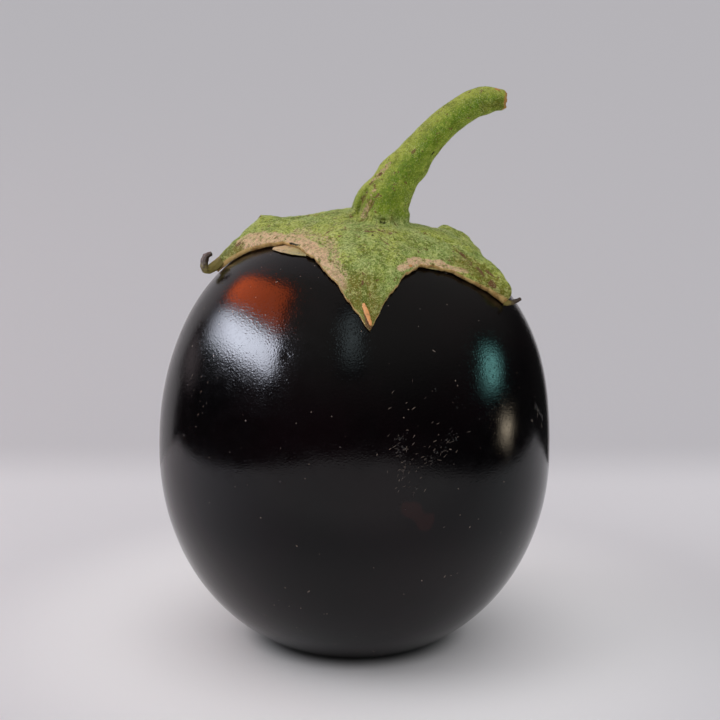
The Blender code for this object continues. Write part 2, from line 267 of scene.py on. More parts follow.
# Passages of the dark flecks of a texture, and of its pale ones
BLOTCH_FLECKS = ((0.48, 0.66, 0.0, 0.75), (0.46, 0.32, 0.0, 0.65))
MOTTLE_FLECKS = ((0.51, 0.62, 0.0, 0.6), (0.49, 0.40, 0.0, 0.6))
FINE_FLECKS = ((0.50, 0.59, 0.0, 0.85), (0.46, 0.38, 0.0, 0.7))
# Other passages of the calyx. Flecks, dots and fuzz are weaker on the stem and on scars.
ON_STEM = (0.0, 0.10)
STEM_CALM = (0.0, 1.0, 1.0, 0.62)
SCAR_CALM = (0.0, 1.0, 1.0, 0.45)
STEM_COVER = (0.0, 1.0, 0.0, 0.92)
BLUE_PASSAGE = (0.38, 0.62)
SCAR_TONES = (0.53, 0.68)
SCAR_SPOTS = (0.50, 0.68, 0.0, 0.6)
DOT_CENTRES = (0.15, 0.44, 1.0, 0.0)
DOT_CLUSTERS = (0.44, 0.56, 0.25, 1.0)
FLECK_CENTRES = (0.15, 0.32, 1.0, 0.0)
FLECK_CLUSTERS = (0.5, 0.6)
FLECK_TONES = (0.45, 0.55)
RIM_TONES = (0.42, 0.62)
BROWN_DOTS = (0.63, 0.69, 0.0, 0.9)
WORN_END = (0.93, 1.0)
WORN_EDGE = (0.50, 0.75, 1.3)
PITH_TONES = (0.4, 0.65)
CUT_INSIDE = (0.15, 0.4)
CUT_START = (0.0, 0.08)
FUZZ_PATCHES = (0.35, 0.6)
FUZZ_STARS = (0.10, 0.30, 0.6, 0.0)
FUZZ_OLIVE = (0.0, 1.0, 1.0, 0.3)
FUZZ_SHARE = 0.5
CALYX_GRAIN = 0.0004
CALYX_ROUGHNESS = 0.8
CALYX_SPECULAR = 0.15

# The calyx's colours
GREEN_YELLOW = (0.47, 0.52, 0.085)
GREEN_BLUE = (0.31, 0.42, 0.12)
GREEN_STEM = (0.155, 0.265, 0.003)
STEM_PALE = (0.50, 0.54, 0.09)
STEM_SATURATED = (0.11, 0.23, 0.002)
STEM_DULL = (0.27, 0.36, 0.05)
GREEN_DARK = (0.12, 0.17, 0.012)
GREEN_SHADE = (0.10, 0.115, 0.015)
GREEN_DEEP = (0.12, 0.14, 0.008)
GREEN_PALE = (0.58, 0.62, 0.22)
# Pale green of pale lines, and of painted light on upturned patches
GREEN_LIGHT = (0.48, 0.56, 0.20)
OLIVE = (0.20, 0.145, 0.014)
SCAR_BEIGE = (0.80, 0.50, 0.34)
SCAR_GREEN = (0.42, 0.42, 0.15)
SCAR_SPOT = (0.47, 0.25, 0.14)
PINK_SPOT = (0.66, 0.42, 0.28)
RIM_LIGHT = (0.66, 0.44, 0.17)
RIM_DARK = (0.42, 0.24, 0.08)
BROWN_DOT = (0.17, 0.10, 0.03)
BROWN_PATCH = (0.17, 0.085, 0.035)
BROWN_DARK = (0.05, 0.025, 0.012)
# Near-black: painted shade of small holes, and small dark dots
DARK_DOT_AND_HOLE_SHADE = (0.015, 0.010, 0.006)
ORANGE_DRY = (0.58, 0.22, 0.06)
CUT_PALE = (0.45, 0.38, 0.20)
CUT_BROWN = (0.20, 0.11, 0.05)
CUT_RIM = (0.45, 0.22, 0.06)
FUZZ_WHITE = (0.74, 0.74, 0.36)

# The hairs, in millimetres. Rise is the sine of their angle to the surface.
HAIRS = 45000
HAIR_LENGTH = (0.15, 0.45)
HAIR_RISE = (0.25, 0.9)
HAIR_RADIUS = 0.03
HAIR_ROOT = 0.12
HAIR_SIDES = 3
HAIR_CUT = 0.05
HAIR_TEXTURE = (200.0, 2.0)
HAIR_TONES = (0.35, 0.65)
HAIR_ROUGHNESS = 0.6
HAIR_WHITE = (0.66, 0.68, 0.32)
HAIR_GREEN = (0.32, 0.42, 0.07)

# The dried tips. A furrow is its depth as a share of the radius, how many run round the tip, and its turn.
TIP_SIDES = 18
TIP_RINGS = 44
TIP_FURROWS = ((0.22, 3.0, 1.0), (0.12, 5.0, 0.0))
TIP_ENDS = (0.1, 0.2)
TIP_TEXTURE = (900.0, 3.0, 0.7)
TIP_EDGE = (0.3, 0.7, 0.6)
TIP_CRUMBS = (0.55, 0.7, 0.0, 0.7)
TIP_GRAIN = 0.0002
TIP_ROUGHNESS = 0.75
DRY_BLACK = (0.060, 0.038, 0.024)
DRY_ORANGE = (0.75, 0.33, 0.10)
TIP_OLIVE = (0.24, 0.19, 0.04)
PAPER_TAN = (0.50, 0.34, 0.15)
PAPER_GREEN = (0.36, 0.30, 0.10)

# The stage, in metres. Mirrored light sees no floor past the near one, and meets the dim room there.
NEAR_FLOOR_LOW = (-0.30, -0.90)
NEAR_FLOOR_HIGH = (0.26, 0.15)
FAR_FLOOR = 3.0
FLOOR_SIDES = 128
FLOOR_DROP = 0.0001
FLOOR_STEP = 0.0002
FLOOR_PALE = (0.715, 0.70, 0.725)
# Painted light: a lighter floor tone in front of the object and in a ring round it, which lightens the
# shadows there
FLOOR_PAINTED_LIGHT = (0.96, 0.94, 0.95)
FLOOR_FAR = (0.555, 0.545, 0.570)
# Painted shadow: the floor's dark tone under the object, in its contact shadow
FLOOR_SHADE = (0.02, 0.02, 0.02)
FLOOR_ROUGHNESS = 0.7
# Where the floor's tones pass into each other, in metres: by Y into the painted lighter front and into the
# darker far part behind the object, and by the distance from the origin into the painted lighter ring round
# the object and into the painted contact shadow under it
FLOOR_FRONT_LIGHT = (-0.20, -0.10)
FLOOR_TURN = (0.13, 0.19)
FLOOR_LIGHT_RING = (0.06, 0.12)
FLOOR_CONTACT_SHADOW = (0.020, 0.032)
# The room: the way to its pale wall and where that ends, the passage by height from low tones to high ones,
# and the tones. The gloss meets the wall and the room, the camera the plain tone, and all else the soft ones.
WALL_WAY = (-0.259, 0.966, 0.0)
WALL_EDGE = (0.80, 0.87)
ROOM_RISE = (0.05, 1.0)
WALL_COLOUR = (0.50, 0.47, 0.49)
PLAIN_COLOUR = (0.460, 0.454, 0.474)
SOFT_LOW = (0.68, 0.68, 0.69)
SOFT_HIGH = (0.80, 0.795, 0.81)
ROOM_LOW = (0.015, 0.015, 0.015)
ROOM_HIGH = (0.42, 0.40, 0.38)

# The soft main light: where it stands in the fruit's sky and how wide it is, in degrees, and what it gives
KEY_AZIMUTH = -75.0
KEY_ELEVATION = 48.0
KEY_ANGLE = 37.0
KEY_STRENGTH = 0.42
KEY_COLOUR = (1.0, 0.99, 0.98)


def new_mesh_object(name, points, faces, material, smooth=True):
    """Makes an object from points in millimetres."""
    mesh = bpy.data.meshes.new(name)
    mesh.from_pydata((np.asarray(points) * MM).tolist(), [], faces)
    mesh.materials.append(material)
    if smooth:
        mesh.shade_smooth()
    mesh.validate()
    obj = bpy.data.objects.new(name, mesh)
    bpy.context.scene.collection.objects.link(obj)
    return obj


def add_mask(obj, name, values):
    """Stores a number or a vector for each point of a mesh, which its material reads by name."""
    kind, field = ("FLOAT", "value") if np.ndim(values) == 1 else ("FLOAT_VECTOR", "vector")
    layer = obj.data.attributes.new(name, kind, "POINT")
    layer.data.foreach_set(field, np.asarray(values, dtype=np.float32).ravel())


def grid_faces(rings, columns):
    """Quads between rings that close on themselves, as a list of corner numbers."""
    first = np.arange(columns)
    after = np.roll(first, -1)
    faces = []
    for ring in range(rings - 1):
        low = ring * columns
        high = low + columns
        faces.append(np.stack([low + first, low + after, high + after, high + first], axis=1))
    return np.concatenate(faces).tolist()


def cap_faces(start, columns, pole, outward):
    first = np.arange(columns)
    after = np.roll(first, -1)
    corners = (first + start, after + start) if outward else (after + start, first + start)
    return [[int(a), int(b), pole] for a, b in zip(*corners)]


def closed_faces(rings, columns):
    """Faces of a closed form whose points are rings, then the middle of its first and of its last end."""
    count = rings * columns
    faces = grid_faces(rings, columns)
    faces += cap_faces(0, columns, count, False)
    faces += cap_faces(count - columns, columns, count + 1, True)
    return faces


def unit(vectors):
    """The same directions with length one."""
    return vectors / np.maximum(np.linalg.norm(vectors, axis=-1, keepdims=True), TINY)


def grid_normals(grid):
    """Unit normals of a grid of points whose second axis closes on itself."""
    around = np.roll(grid, -1, axis=1) - np.roll(grid, 1, axis=1)
    return unit(np.cross(around, np.gradient(grid, axis=0)))


def once_round(count):
    """Angles in radians, evenly spaced round a circle."""
    return np.arange(count) * 2.0 * math.pi / count


def smooth_place(route, t):
    """A place on a smooth curve through the rows of a route, t from 0 to 1."""
    spans = len(route) - 1
    index = min(int(t * spans), spans - 1)
    local = t * spans - index
    rows = [np.array(route[max(0, min(spans, index + offset))]) for offset in (-1, 0, 1, 2)]
    before, start, end, after = rows
    bend = (2 * before - 5 * start + 4 * end - after) * local**2
    bend += (3 * start - before - 3 * end + after) * local**3
    return 0.5 * (2 * start + (end - before) * local + bend)


def rough_field(points, relief):
    """Smooth noise at points in millimetres, from about minus to plus the relief's height."""
    points = np.asarray(points, dtype=float)
    flat = (points.reshape(-1, 3) / relief.size + relief.seed * SEED_STEP).tolist()
    total = np.zeros(len(flat))
    for octave in range(relief.octaves):
        step = 2.0**octave
        total += np.array([noise.noise(Vector(p) * step) for p in flat]) / step
    return relief.height * total.reshape(points.shape[:-1])


def bell(distance):
    return np.exp(-(distance**2))


def smooth_step(low, high, values):
    share = np.clip((values - low) / (high - low), 0.0, 1.0)
    return share * share * (3.0 - 2.0 * share)


# The fruit's shape

def profile(latitude):
    """Radius and height of the skin at latitudes in radians."""
    upper = latitude >= 0.0
    power = np.where(upper, UPPER_POWER, LOWER_POWER)
    reach = np.where(upper, UPPER_HEIGHT, LOWER_HEIGHT)
    radius = FRUIT_RADIUS * np.maximum(0.0, np.cos(latitude)) ** (2.0 / power)
    rise = reach * np.abs(np.sin(latitude)) ** (2.0 / power)
    height = WIDEST_Z + np.copysign(rise, latitude)
    blend = (height + FOOT_BLEND) ** 2 / (4.0 * FOOT_BLEND)
    settled = np.where(height <= -FOOT_BLEND, 0.0, blend)
    return radius, np.where(height >= FOOT_BLEND, height, settled)


def skin_place(radius, height, azimuth):
    sway = SWAY * bell((height - SWAY_Z) / SWAY_SPAN)
    across = radius * np.cos(azimuth) + sway
    depth = radius * (1.0 - FLATNESS) * np.sin(azimuth)
    away = np.hypot(across - DIP_PLACE[0], depth - DIP_PLACE[1]) / DIP_SPAN
    dip = np.where(height > WIDEST_Z, DIP_DEPTH * bell(away), 0.0)
    return np.stack([across, depth, height - dip], axis=-1)


def crown_table():
    """The skin from the crown down past the widest level, by arc length, with its outward normal."""
    steps = np.arange(CROWN_STEPS)
    latitude = math.pi / 2 * (1.0 - steps / CROWN_STEPS * CROWN_SPAN)
    radius, height = profile(latitude)
    run = np.diff(radius)
    drop = -np.diff(height)
    length = np.hypot(run, drop)
    arc = np.concatenate([[0.0], np.cumsum(length)])
    out = np.concatenate([[0.0], drop / length])
    up = np.concatenate([[1.0], run / length])
    return arc, radius, height, out, up


CROWN = crown_table()


def wrap(x, y, lift):
    """The places over the skin of points of the plan, this far off the skin."""
    arc = np.hypot(x, y)
    azimuth = np.arctan2(y, x)
    radius, height, out, up = (np.interp(arc, CROWN[0], column) for column in CROWN[1:])
    normal = np.stack([out * np.cos(azimuth), out * np.sin(azimuth), up], axis=-1)
    return skin_place(radius, height, azimuth) + np.asarray(lift)[..., None] * normal


# The calyx's outline and thickness

def polar(angle, reach):
    turn = math.radians(angle)
    return np.array([math.cos(turn), math.sin(turn)]) * reach


def lobe_edge(valley, lobe, side):
    """One edge of a lobe, as the four points of a curve from its valley. Side is -1 before the tip or 1."""
    start = polar(valley.angle, valley.reach)
    tip = polar(lobe.tip_angle, lobe.tip_reach)
    shoulder = valley.shoulder_after if side < 0 else valley.shoulder_before
    spread = lobe.spread_before if side < 0 else lobe.spread_after
    along = polar(valley.angle + 90.0, 1.0) * -side * shoulder
    arrival = polar(lobe.tip_angle - side * spread, 1.0) * lobe.taper
    return start, start + along, tip - arrival, tip


def bezier(points, t):
    a, b, c, d = points
    t = np.asarray(t)[:, None]
    s = 1.0 - t
    return a * s**3 + b * (3 * s * s * t) + c * (3 * s * t * t) + d * t**3


def calyx_rim():
    """The rim on the plan, from the foot: places, angles and how far each is lifted off the fruit."""
    places = []
    lifts = []
    steps = np.arange(SAMPLES_AN_EDGE) / SAMPLES_AN_EDGE
    for index, lobe in enumerate(LOBES):
        before = VALLEYS[index - 1]
        after = VALLEYS[index]
        places.append(bezier(lobe_edge(before, lobe, -1), steps))
        lifts.append(before.lift * (1.0 - steps))
        places.append(bezier(lobe_edge(after, lobe, 1), 1.0 - steps))
        lifts.append(after.lift * steps)
    place = np.concatenate(places)
    lift = np.concatenate(lifts)
    angle = np.arctan2(place[:, 1], place[:, 0])
    wave = EDGE_WAVE * np.sin(EDGE_WAVES * angle) * np.cos(EDGE_SWELLS * angle)
    reach = np.hypot(place[:, 0], place[:, 1])
    torn = rough_field(np.append(place, np.zeros((len(place), 1)), axis=1), RIM_RAGGED)
    return place * (1.0 + (wave + torn) / reach)[:, None], angle, lift + WAVE_LIFT * np.abs(wave)


def turn_between(angle, other):
    """The signed angle in degrees from one direction to another."""
    return (angle - other + 180.0) % 360.0 - 180.0


def crest_height(lobe, angle, reach):
    inner = lobe.crest * (reach / lobe.crest_reach) ** lobe.rise
    run = np.clip((reach - lobe.crest_reach) / (lobe.tip_reach - lobe.crest_reach), 0.0, 1.0)
    outer = lobe.crest + (lobe.tip_crest - lobe.crest) * run**lobe.fall
    bend = turn_between(lobe.tip_angle, lobe.crest_angle)
    height = np.where(reach < lobe.crest_reach, inner, outer)
    ridge_angle = lobe.crest_angle + bend * run
    across = np.radians(turn_between(angle, ridge_angle)) * reach / lobe.width
    return height * np.exp(-np.abs(across) ** CREST_POWER)


def calyx_thickness(x, y, inward):
    reach = np.hypot(x, y)
    angle = np.degrees(np.arctan2(y, x))
    foot = FOOT_THICKNESS + FOOT_LEAN * np.cos(np.radians(angle - FOOT_LEAN_ANGLE))
    body = BODY_THICKNESS + (foot - BODY_THICKNESS) * bell((reach - FOOT_RADIUS) / BODY_REACH)
    ridges = sum(crest_height(lobe, angle, reach) for lobe in LOBES)
    rounding = np.sqrt(1.0 - (1.0 - inward) ** RIM_ROUNDING)
    return RIM_THICKNESS + (body + ridges - RIM_THICKNESS) * rounding


# The stem's shape

def stem_direction(t):
    ahead = smooth_place(STEM_STATIONS, min(1.0, t + STEM_DIRECTION_STEP))
    behind = smooth_place(STEM_STATIONS, max(0.0, t - STEM_DIRECTION_STEP))
    return unit((ahead - behind)[:3])


def stem_ring(angle, t):
    *centre, diameter = smooth_place(STEM_STATIONS, t)
    forward = stem_direction(t)
    right = unit(np.cross((0.0, 1.0, 0.0), forward))
    back = np.cross(forward, right)
    rib = 1.0 + STEM_RIB_DEPTH * np.cos(STEM_RIBS * (angle - math.radians(LOBES[0].tip_angle)))
    radius = diameter / 2.0 * rib
    for knob in KNOBS:
        along = (t - knob.along) / knob.length
        across = turn_between(np.degrees(angle), knob.angle) / knob.width
        radius = radius + knob.height * np.exp(-along * along - across**2)
    return centre + (np.outer(np.cos(angle), right) + np.outer(np.sin(angle), back)) * radius[:, None]


# Where each point of the calyx lies in its lobe

def lobe_edges_along(lobe, valley, side):
    """One edge of a lobe as distances along and across its midline, from the foot out to the tip."""
    places = bezier(lobe_edge(valley, lobe, side), np.linspace(0.0, 1.0, SAMPLES_AN_EDGE))
    middle = polar(lobe.tip_angle, 1.0)
    along = places @ middle
    across = np.abs(places[:, 0] * middle[1] - places[:, 1] * middle[0])
    along = np.maximum.accumulate(np.concatenate([[0.0], along]))
    return along, np.concatenate([[0.0], across])


def lobe_places(x, y):
    """The lobe that each point of the plan is in, how far along it, and where across it from -1 to 1."""
    reach = np.hypot(x, y)
    angle = np.degrees(np.arctan2(y, x))
    lobe_index = np.zeros(x.shape, dtype=int)
    along = np.zeros(x.shape)
    across = np.zeros(x.shape)
    for index, lobe in enumerate(LOBES):
        before = VALLEYS[index - 1]
        after = VALLEYS[index]
        sector = (after.angle - before.angle) % 360.0
        inside = (angle - before.angle) % 360.0 < sector
        turn = np.radians(turn_between(angle, lobe.tip_angle))
        own_along = reach * np.cos(turn)
        own_across = reach * np.sin(turn)
        low = np.interp(own_along, *lobe_edges_along(lobe, before, -1))
        high = np.interp(own_along, *lobe_edges_along(lobe, after, 1))
        half = np.maximum(np.where(own_across < 0.0, low, high), LEAST_HALF_WIDTH)
        lobe_index = np.where(inside, index, lobe_index)
        along = np.where(inside, own_along, along)
        across = np.where(inside, np.clip(own_across / half, -1.0, 1.0), across)
    return lobe_index, along, across


# The calyx and stem's grid of points

Loft = collections.namedtuple("Loft", "grid top share reach lobe along across stem cut turn grain")


def calyx_loft():
    """All rings of the calyx and stem, with what the relief and the colours need to know of each point."""
    rim, angle, lift = calyx_rim()
    columns = len(angle)
    inner = np.stack([np.cos(angle), np.sin(angle)], axis=1) * FOOT_RADIUS
    rings = []
    facts = []

    def keep(ring, top, share, local, stem, cut):
        rings.append(ring)
        reach = np.hypot(local[:, 0], local[:, 1])
        lobe, along, across = lobe_places(local[:, 0], local[:, 1])
        alike = [np.full(columns, value, dtype=float) for value in (top, share, stem, cut)]
        facts.append((alike[0], alike[1], reach, lobe, along, across, alike[2], alike[3]))

    for share in UNDER_SHARES:
        place = rim * share
        height = CLEARANCE + (lift - RIM_DROP) * share**LIFT_POWER
        ring = wrap(place[:, 0] + FOOT[0], place[:, 1] + FOOT[1], height)
        keep(ring, 0.0, share, place, 0.0, 0.0)
    for step in np.linspace(0.0, 1.0, TOP_RINGS):
        share = 1.0 - step**TOP_RING_POWER
        local = inner + (rim - inner) * share
        thickness = calyx_thickness(local[:, 0], local[:, 1], 1.0 - share)
        height = CLEARANCE + lift * share**LIFT_POWER + thickness
        keep(wrap(local[:, 0] + FOOT[0], local[:, 1] + FOOT[1], height), 1.0, share, local, 0.0, 0.0)
    foot_ring = rings[-1]
    first = stem_ring(angle, 0.0)
    for step in range(1, FILLET_RINGS):
        turn = math.pi / 2 * step / FILLET_RINGS
        out = math.sin(turn)
        up = 1.0 - math.cos(turn) ** FILLET_POWER
        ring = foot_ring + (first - foot_ring) * np.array([out, out, up])
        keep(ring, 1.0, 0.0, inner, 0.0, 0.0)
    for t in np.linspace(0.0, 1.0, STEM_RINGS):
        keep(stem_ring(angle, t), 1.0, 0.0, inner, t, 0.0)
    end_ring = rings[-1]
    middle = end_ring.mean(axis=0)
    for share in CUT_SHARES:
        sunk = stem_direction(1.0) * STEM_CUT_DEPTH * (1.0 - share) ** CUT_HOLLOW_POWER
        keep(middle + (end_ring - middle) * share - sunk, 1.0, 0.0, inner, 1.0, 1.0 - share)
    grid = np.stack(rings)
    columns_of_facts = [np.stack([fact[item] for fact in facts]) for item in range(8)]
    top, share, reach, lobe, along, across, stem, cut = columns_of_facts
    turn = 2.0 * math.pi * (lobe + 0.5 + 0.5 * across) / len(LOBES)
    grain = np.stack([np.cos(turn), np.sin(turn), along - stem * STEM_GRAIN_LENGTH], axis=-1)
    round_stem = np.repeat(np.degrees(angle)[None, :], len(rings), axis=0)
    return Loft(grid, top, share, reach, lobe, along, across, stem, cut, round_stem, grain)


# Marks that the photo shows in one place each

# A mark of a mask has a start and an end on the object, a width and a strength. A bump has a height in place
# of the strength, below zero where it sinks in.
CALYX_MARKS = {
    "scar": (
        ((-25.5, -4.5, 112.0), (-30.8, -3.0, 108.8), 3.0, 0.95),
        ((-29.5, -0.5, 110.5), (-22.8, -8.2, 112.0), 3.2, 0.95),
        ((-22.8, -8.2, 112.4), (-15.3, -16.0, 113.3), 4.4, 1.0),
        ((-15.2, -16.8, 113.0), (-9.4, -24.8, 110.9), 3.4, 1.0),
        ((-9.2, -25.7, 110.5), (-3.4, -34.4, 105.2), 2.0, 0.9),
        ((11.8, -28.5, 108.9), (15.6, -24.5, 109.9), 1.4, 0.8),
        ((15.6, -24.5, 109.9), (22.7, -21.3, 108.3), 2.0, 0.95),
        ((22.7, -21.3, 108.3), (29.0, -18.5, 106.0), 1.2, 0.8),
    ),
    "brown": (
        ((-25.6, 7.2, 115.7), (-25.8, 6.9, 115.2), 0.7, 1.0),
        ((-31.1, -1.1, 110.0), (-31.6, -1.0, 109.4), 0.9, 1.0),
        ((-10.9, -1.6, 115.8), (-10.6, -1.6, 115.8), 0.35, 1.0),
        ((-4.0, -16.4, 114.6), (-3.6, -16.4, 114.6), 0.5, 1.0),
        ((6.6, -17.1, 114.3), (8.8, -20.0, 113.0), 0.35, 1.0),
        ((7.8, -16.4, 114.2), (9.8, -18.4, 113.3), 0.28, 0.9),
        ((25.9, -12.0, 109.6), (26.1, -12.0, 109.5), 0.5, 1.0),
        ((28.7, -11.1, 108.6), (30.7, -13.6, 106.8), 1.1, 1.0),
        ((35.7, -16.8, 102.4), (36.6, -16.4, 101.2), 1.3, 0.8),
        ((32.2, -14.6, 105.4), (33.8, -15.6, 104.0), 0.9, 0.85),
        ((34.5, -13.5, 104.6), (36.5, -14.2, 102.4), 0.7, 0.8),
        ((1.9, -34.1, 106.2), (2.0, -34.3, 105.9), 0.5, 1.0),
        ((3.2, -40.2, 98.6), (3.6, -42.0, 95.5), 0.9, 1.0),
        ((3.2, -5.7, 117.9), (6.4, -5.1, 123.7), 0.4, 0.8),
        ((6.9, -1.8, 127.9), (7.3, -2.0, 128.6), 0.5, 1.0),
        ((3.6, -1.5, 123.3), (3.9, -1.6, 123.6), 0.4, 1.0),
        ((4.6, -1.5, 125.0), (5.0, -1.6, 125.8), 0.35, 0.9),
        ((3.0, -14.0, 115.3), (5.5, -14.2, 115.1), 0.6, 0.9),
        ((6.5, -13.0, 115.4), (9.5, -14.2, 114.9), 0.5, 0.9),
        ((-7.5, -13.5, 115.0), (-5.0, -11.5, 115.7), 0.5, 0.8),
    ),
    # Near-black marks: painted shade of two small holes over dents in the relief, and two small dark dots
    "dark": (
        ((4.7, -16.2, 114.8), (5.0, -16.3, 114.7), 0.5, 1.0),
        ((7.5, -7.6, 116.7), (7.7, -7.6, 116.7), 0.6, 0.8),
        ((-16.7, -14.4, 112.4), (-14.9, -16.5, 113.2), 0.5, 1.0),
        ((20.6, -1.6, 133.8), (20.8, -1.6, 133.9), 0.35, 0.9),
    ),
    # Pale marks: thin pale lines and lobe edges of the tissue's own, and broad painted light on the hump and
    # on the upturned top of the cap and front lobe
    "pale": (
        ((29.6, -11.9, 108.0), (30.9, -14.4, 106.5), 0.35, 1.0),
        ((-26.2, 7.0, 114.6), (-35.5, 2.6, 109.0), 1.0, 0.9),
        ((38.4, -15.4, 98.6), (39.3, -14.6, 96.9), 1.0, 0.8),
        ((17.5, 5.0, 113.5), (24.0, 8.0, 111.0), 3.2, 0.85),
        ((13.0, -6.5, 115.6), (20.0, -10.5, 113.2), 3.6, 0.75),
        ((-2.0, -12.0, 115.5), (-1.0, -26.0, 111.5), 2.6, 0.6),
    ),
    "orange": (
        ((17.3, -7.2, 113.9), (17.7, -7.1, 113.7), 0.5, 1.0),
        ((14.3, -26.5, 108.9), (14.6, -26.2, 108.8), 0.5, 1.0),
        ((37.2, 0.0, 150.9), (40.2, -0.2, 149.2), 0.45, 1.0),
        ((40.2, -0.2, 149.2), (40.8, 0.0, 146.8), 0.4, 0.9),
    ),
    # Darker green: painted shade in the front lobe's midrib groove and in a sunk fold right of the stem, and
    # a darker tone near the stem's end and on the left lobe
    "deep": (
        ((2.2, -34.7, 105.4), (3.0, -39.0, 101.2), 0.9, 1.0),
        ((34.5, -3.2, 145.9), (39.2, -2.8, 146.2), 2.8, 0.6),
        ((18.7, -6.6, 113.5), (25.3, -7.0, 111.4), 1.2, 0.5),
        ((-32.6, 0.8, 109.6), (-37.4, 0.9, 104.4), 1.0, 0.9),
    ),
    # Olive: dried lobe tips and patches, and painted shade in the creases where the stem meets the cap
    "olive": (
        ((1.4, -35.0, 105.0), (3.6, -42.0, 96.0), 6.0, 1.0),
        ((29.0, -15.5, 107.2), (38.5, -15.0, 98.0), 4.4, 0.95),
        ((2.5, -6.5, 117.2), (11.0, -6.5, 117.2), 1.6, 0.6),
        ((1.5, -6.6, 115.9), (4.8, -5.4, 121.5), 0.75, 1.0),
        ((0.7, -3.4, 117.6), (3.1, -3.2, 123.2), 0.6, 0.95),
        ((-32.8, -2.4, 106.8), (-37.8, -0.4, 102.6), 4.2, 1.0),
        ((27.0, -10.5, 109.5), (34.5, -13.5, 105.0), 2.2, 0.75),
        ((-2.0, -12.5, 115.4), (9.5, -13.0, 115.2), 1.6, 0.55),
    ),
    "pink": (
        ((-14.5, -7.5, 114.6), (-7.4, -17.7, 113.6), 4.0, 0.8),
        ((-6.5, -18.5, 113.4), (-3.0, -33.0, 106.5), 3.4, 0.85),
        ((-4.0, -8.0, 116.5), (9.0, -14.0, 115.5), 3.2, 0.6),
        ((5.2, -1.5, 126.0), (9.2, -2.0, 131.0), 1.3, 0.8),
        ((2.2, -5.6, 118.0), (5.4, -4.2, 124.6), 1.3, 0.85),
    ),
}
CALYX_BUMPS = (
    ((7.5, -7.6, 116.7), (7.7, -7.6, 116.7), 1.0, -0.9),
    ((9.6, -8.3, 115.7), (9.8, -8.3, 115.6), 1.3, 0.7),
    ((1.5, -6.6, 115.9), (4.8, -5.4, 121.5), 0.7, -0.75),
    ((0.7, -3.1, 118.3), (3.1, -3.0, 123.7), 0.6, -0.65),
    ((2.0, -4.5, 118.0), (4.8, -4.2, 123.5), 0.7, 0.5),
    ((18.7, -6.6, 113.5), (25.3, -7.0, 111.4), 1.3, -0.8),
    ((2.0, -34.0, 106.0), (3.0, -39.0, 101.2), 0.7, -0.35),
    ((28.7, -11.1, 108.6), (30.7, -13.6, 106.8), 0.8, -0.4),
    ((-16.7, -14.4, 112.4), (-14.9, -16.5, 113.2), 0.6, -0.6),
    ((11.8, -21.5, 111.9), (6.6, -37.3, 102.2), 1.6, 0.45),
    ((-2.5, -24.1, 112.3), (0.3, -37.9, 102.2), 1.5, 0.4),
    ((18.5, -14.0, 113.0), (32.0, -14.5, 106.5), 2.0, 0.4),
)
FRUIT_MARKS = {
    "scuff": (
        ((11.1, -49.4, 69.3), (12.1, -49.9, 62.4), 3.4, 0.62),
        ((24.6, -44.4, 67.8), (19.4, -47.4, 63.9), 3.4, 0.6),
        ((16.0, -49.0, 58.0), (12.5, -50.5, 53.0), 3.0, 0.6),
        ((28.0, -42.5, 76.0), (20.0, -45.0, 82.0), 3.5, 0.45),
        ((46.0, -21.1, 70.1), (48.3, -16.6, 66.2), 1.6, 0.8),
    ),
    "red": (((14.0, -49.8, 51.6), (18.1, -48.3, 47.7), 3.0, 1.0),),
}
# Scratches lie round a line: its start and end, how far about it they are strewn, and how many there are.
FRUIT_SCRATCHES = (
    ((11.1, -49.4, 69.3), (12.5, -50.5, 58.0), 1.8, 46),
    ((25.0, -44.4, 68.5), (16.0, -48.4, 62.0), 1.3, 40),
    ((28.0, -42.5, 76.0), (8.0, -50.0, 78.0), 4.5, 14),
    ((46.0, -22.0, 72.0), (47.5, -18.0, 66.0), 1.6, 9),
    ((-44.0, -26.0, 80.0), (-40.0, -32.0, 74.0), 3.5, 14),
)
FRUIT_BUMPS = (((-17.0, -41.5, 89.2), (-16.4, -42.2, 87.8), 0.7, -0.09),)


def on_surface(points, place):
    """The point of a surface that lies nearest to a place."""
    flat = points.reshape(-1, 3)
    return flat[np.argmin(np.sum((flat - np.array(place)) ** 2, axis=1))]


def bell_along(points, start, end, width):
    """A soft bell round the line between the points of a surface that lie nearest to two places."""
    start = on_surface(points, start)
    run = on_surface(points, end) - start
    share = np.clip((points - start) @ run / max(float(run @ run), TINY), 0.0, 1.0)
    return bell(np.linalg.norm(points - (start + share[..., None] * run), axis=-1) / width)


def add_bumps(points, bumps):
    """How far all the bumps together lift each point."""
    return sum(bump[-1] * bell_along(points, *bump[:-1]) for bump in bumps)


def add_masks(obj, points, marks):
    """Fills each mask with its marks. Where they overlap, the strongest one shows."""
    for mask, rows in marks.items():
        values = [row[-1] * bell_along(points, *row[:-1]) for row in rows]
        add_mask(obj, mask, np.maximum.reduce(values))


# The fruit's mesh

def fruit_grid():
    """Rings of the skin from the foot to the crown, evenly spaced along it."""
    fine = np.linspace(-math.pi / 2, math.pi / 2, 4 * CROWN_STEPS)
    radius, height = profile(fine)
    arc = np.concatenate([[0.0], np.cumsum(np.hypot(np.diff(radius), np.diff(height)))])
    wanted = np.linspace(0.0, arc[-1], FRUIT_ROWS + 2)[1:-1]
    latitude = np.interp(wanted, arc, fine)
    azimuth = once_round(FRUIT_COLUMNS)
    ring_radius, ring_height = profile(latitude)
    radii = np.repeat(ring_radius[:, None], FRUIT_COLUMNS, axis=1)
    heights = np.repeat(ring_height[:, None], FRUIT_COLUMNS, axis=1)
    azimuths = np.repeat(azimuth[None, :], len(latitude), axis=0)
    return skin_place(radii, heights, azimuths)


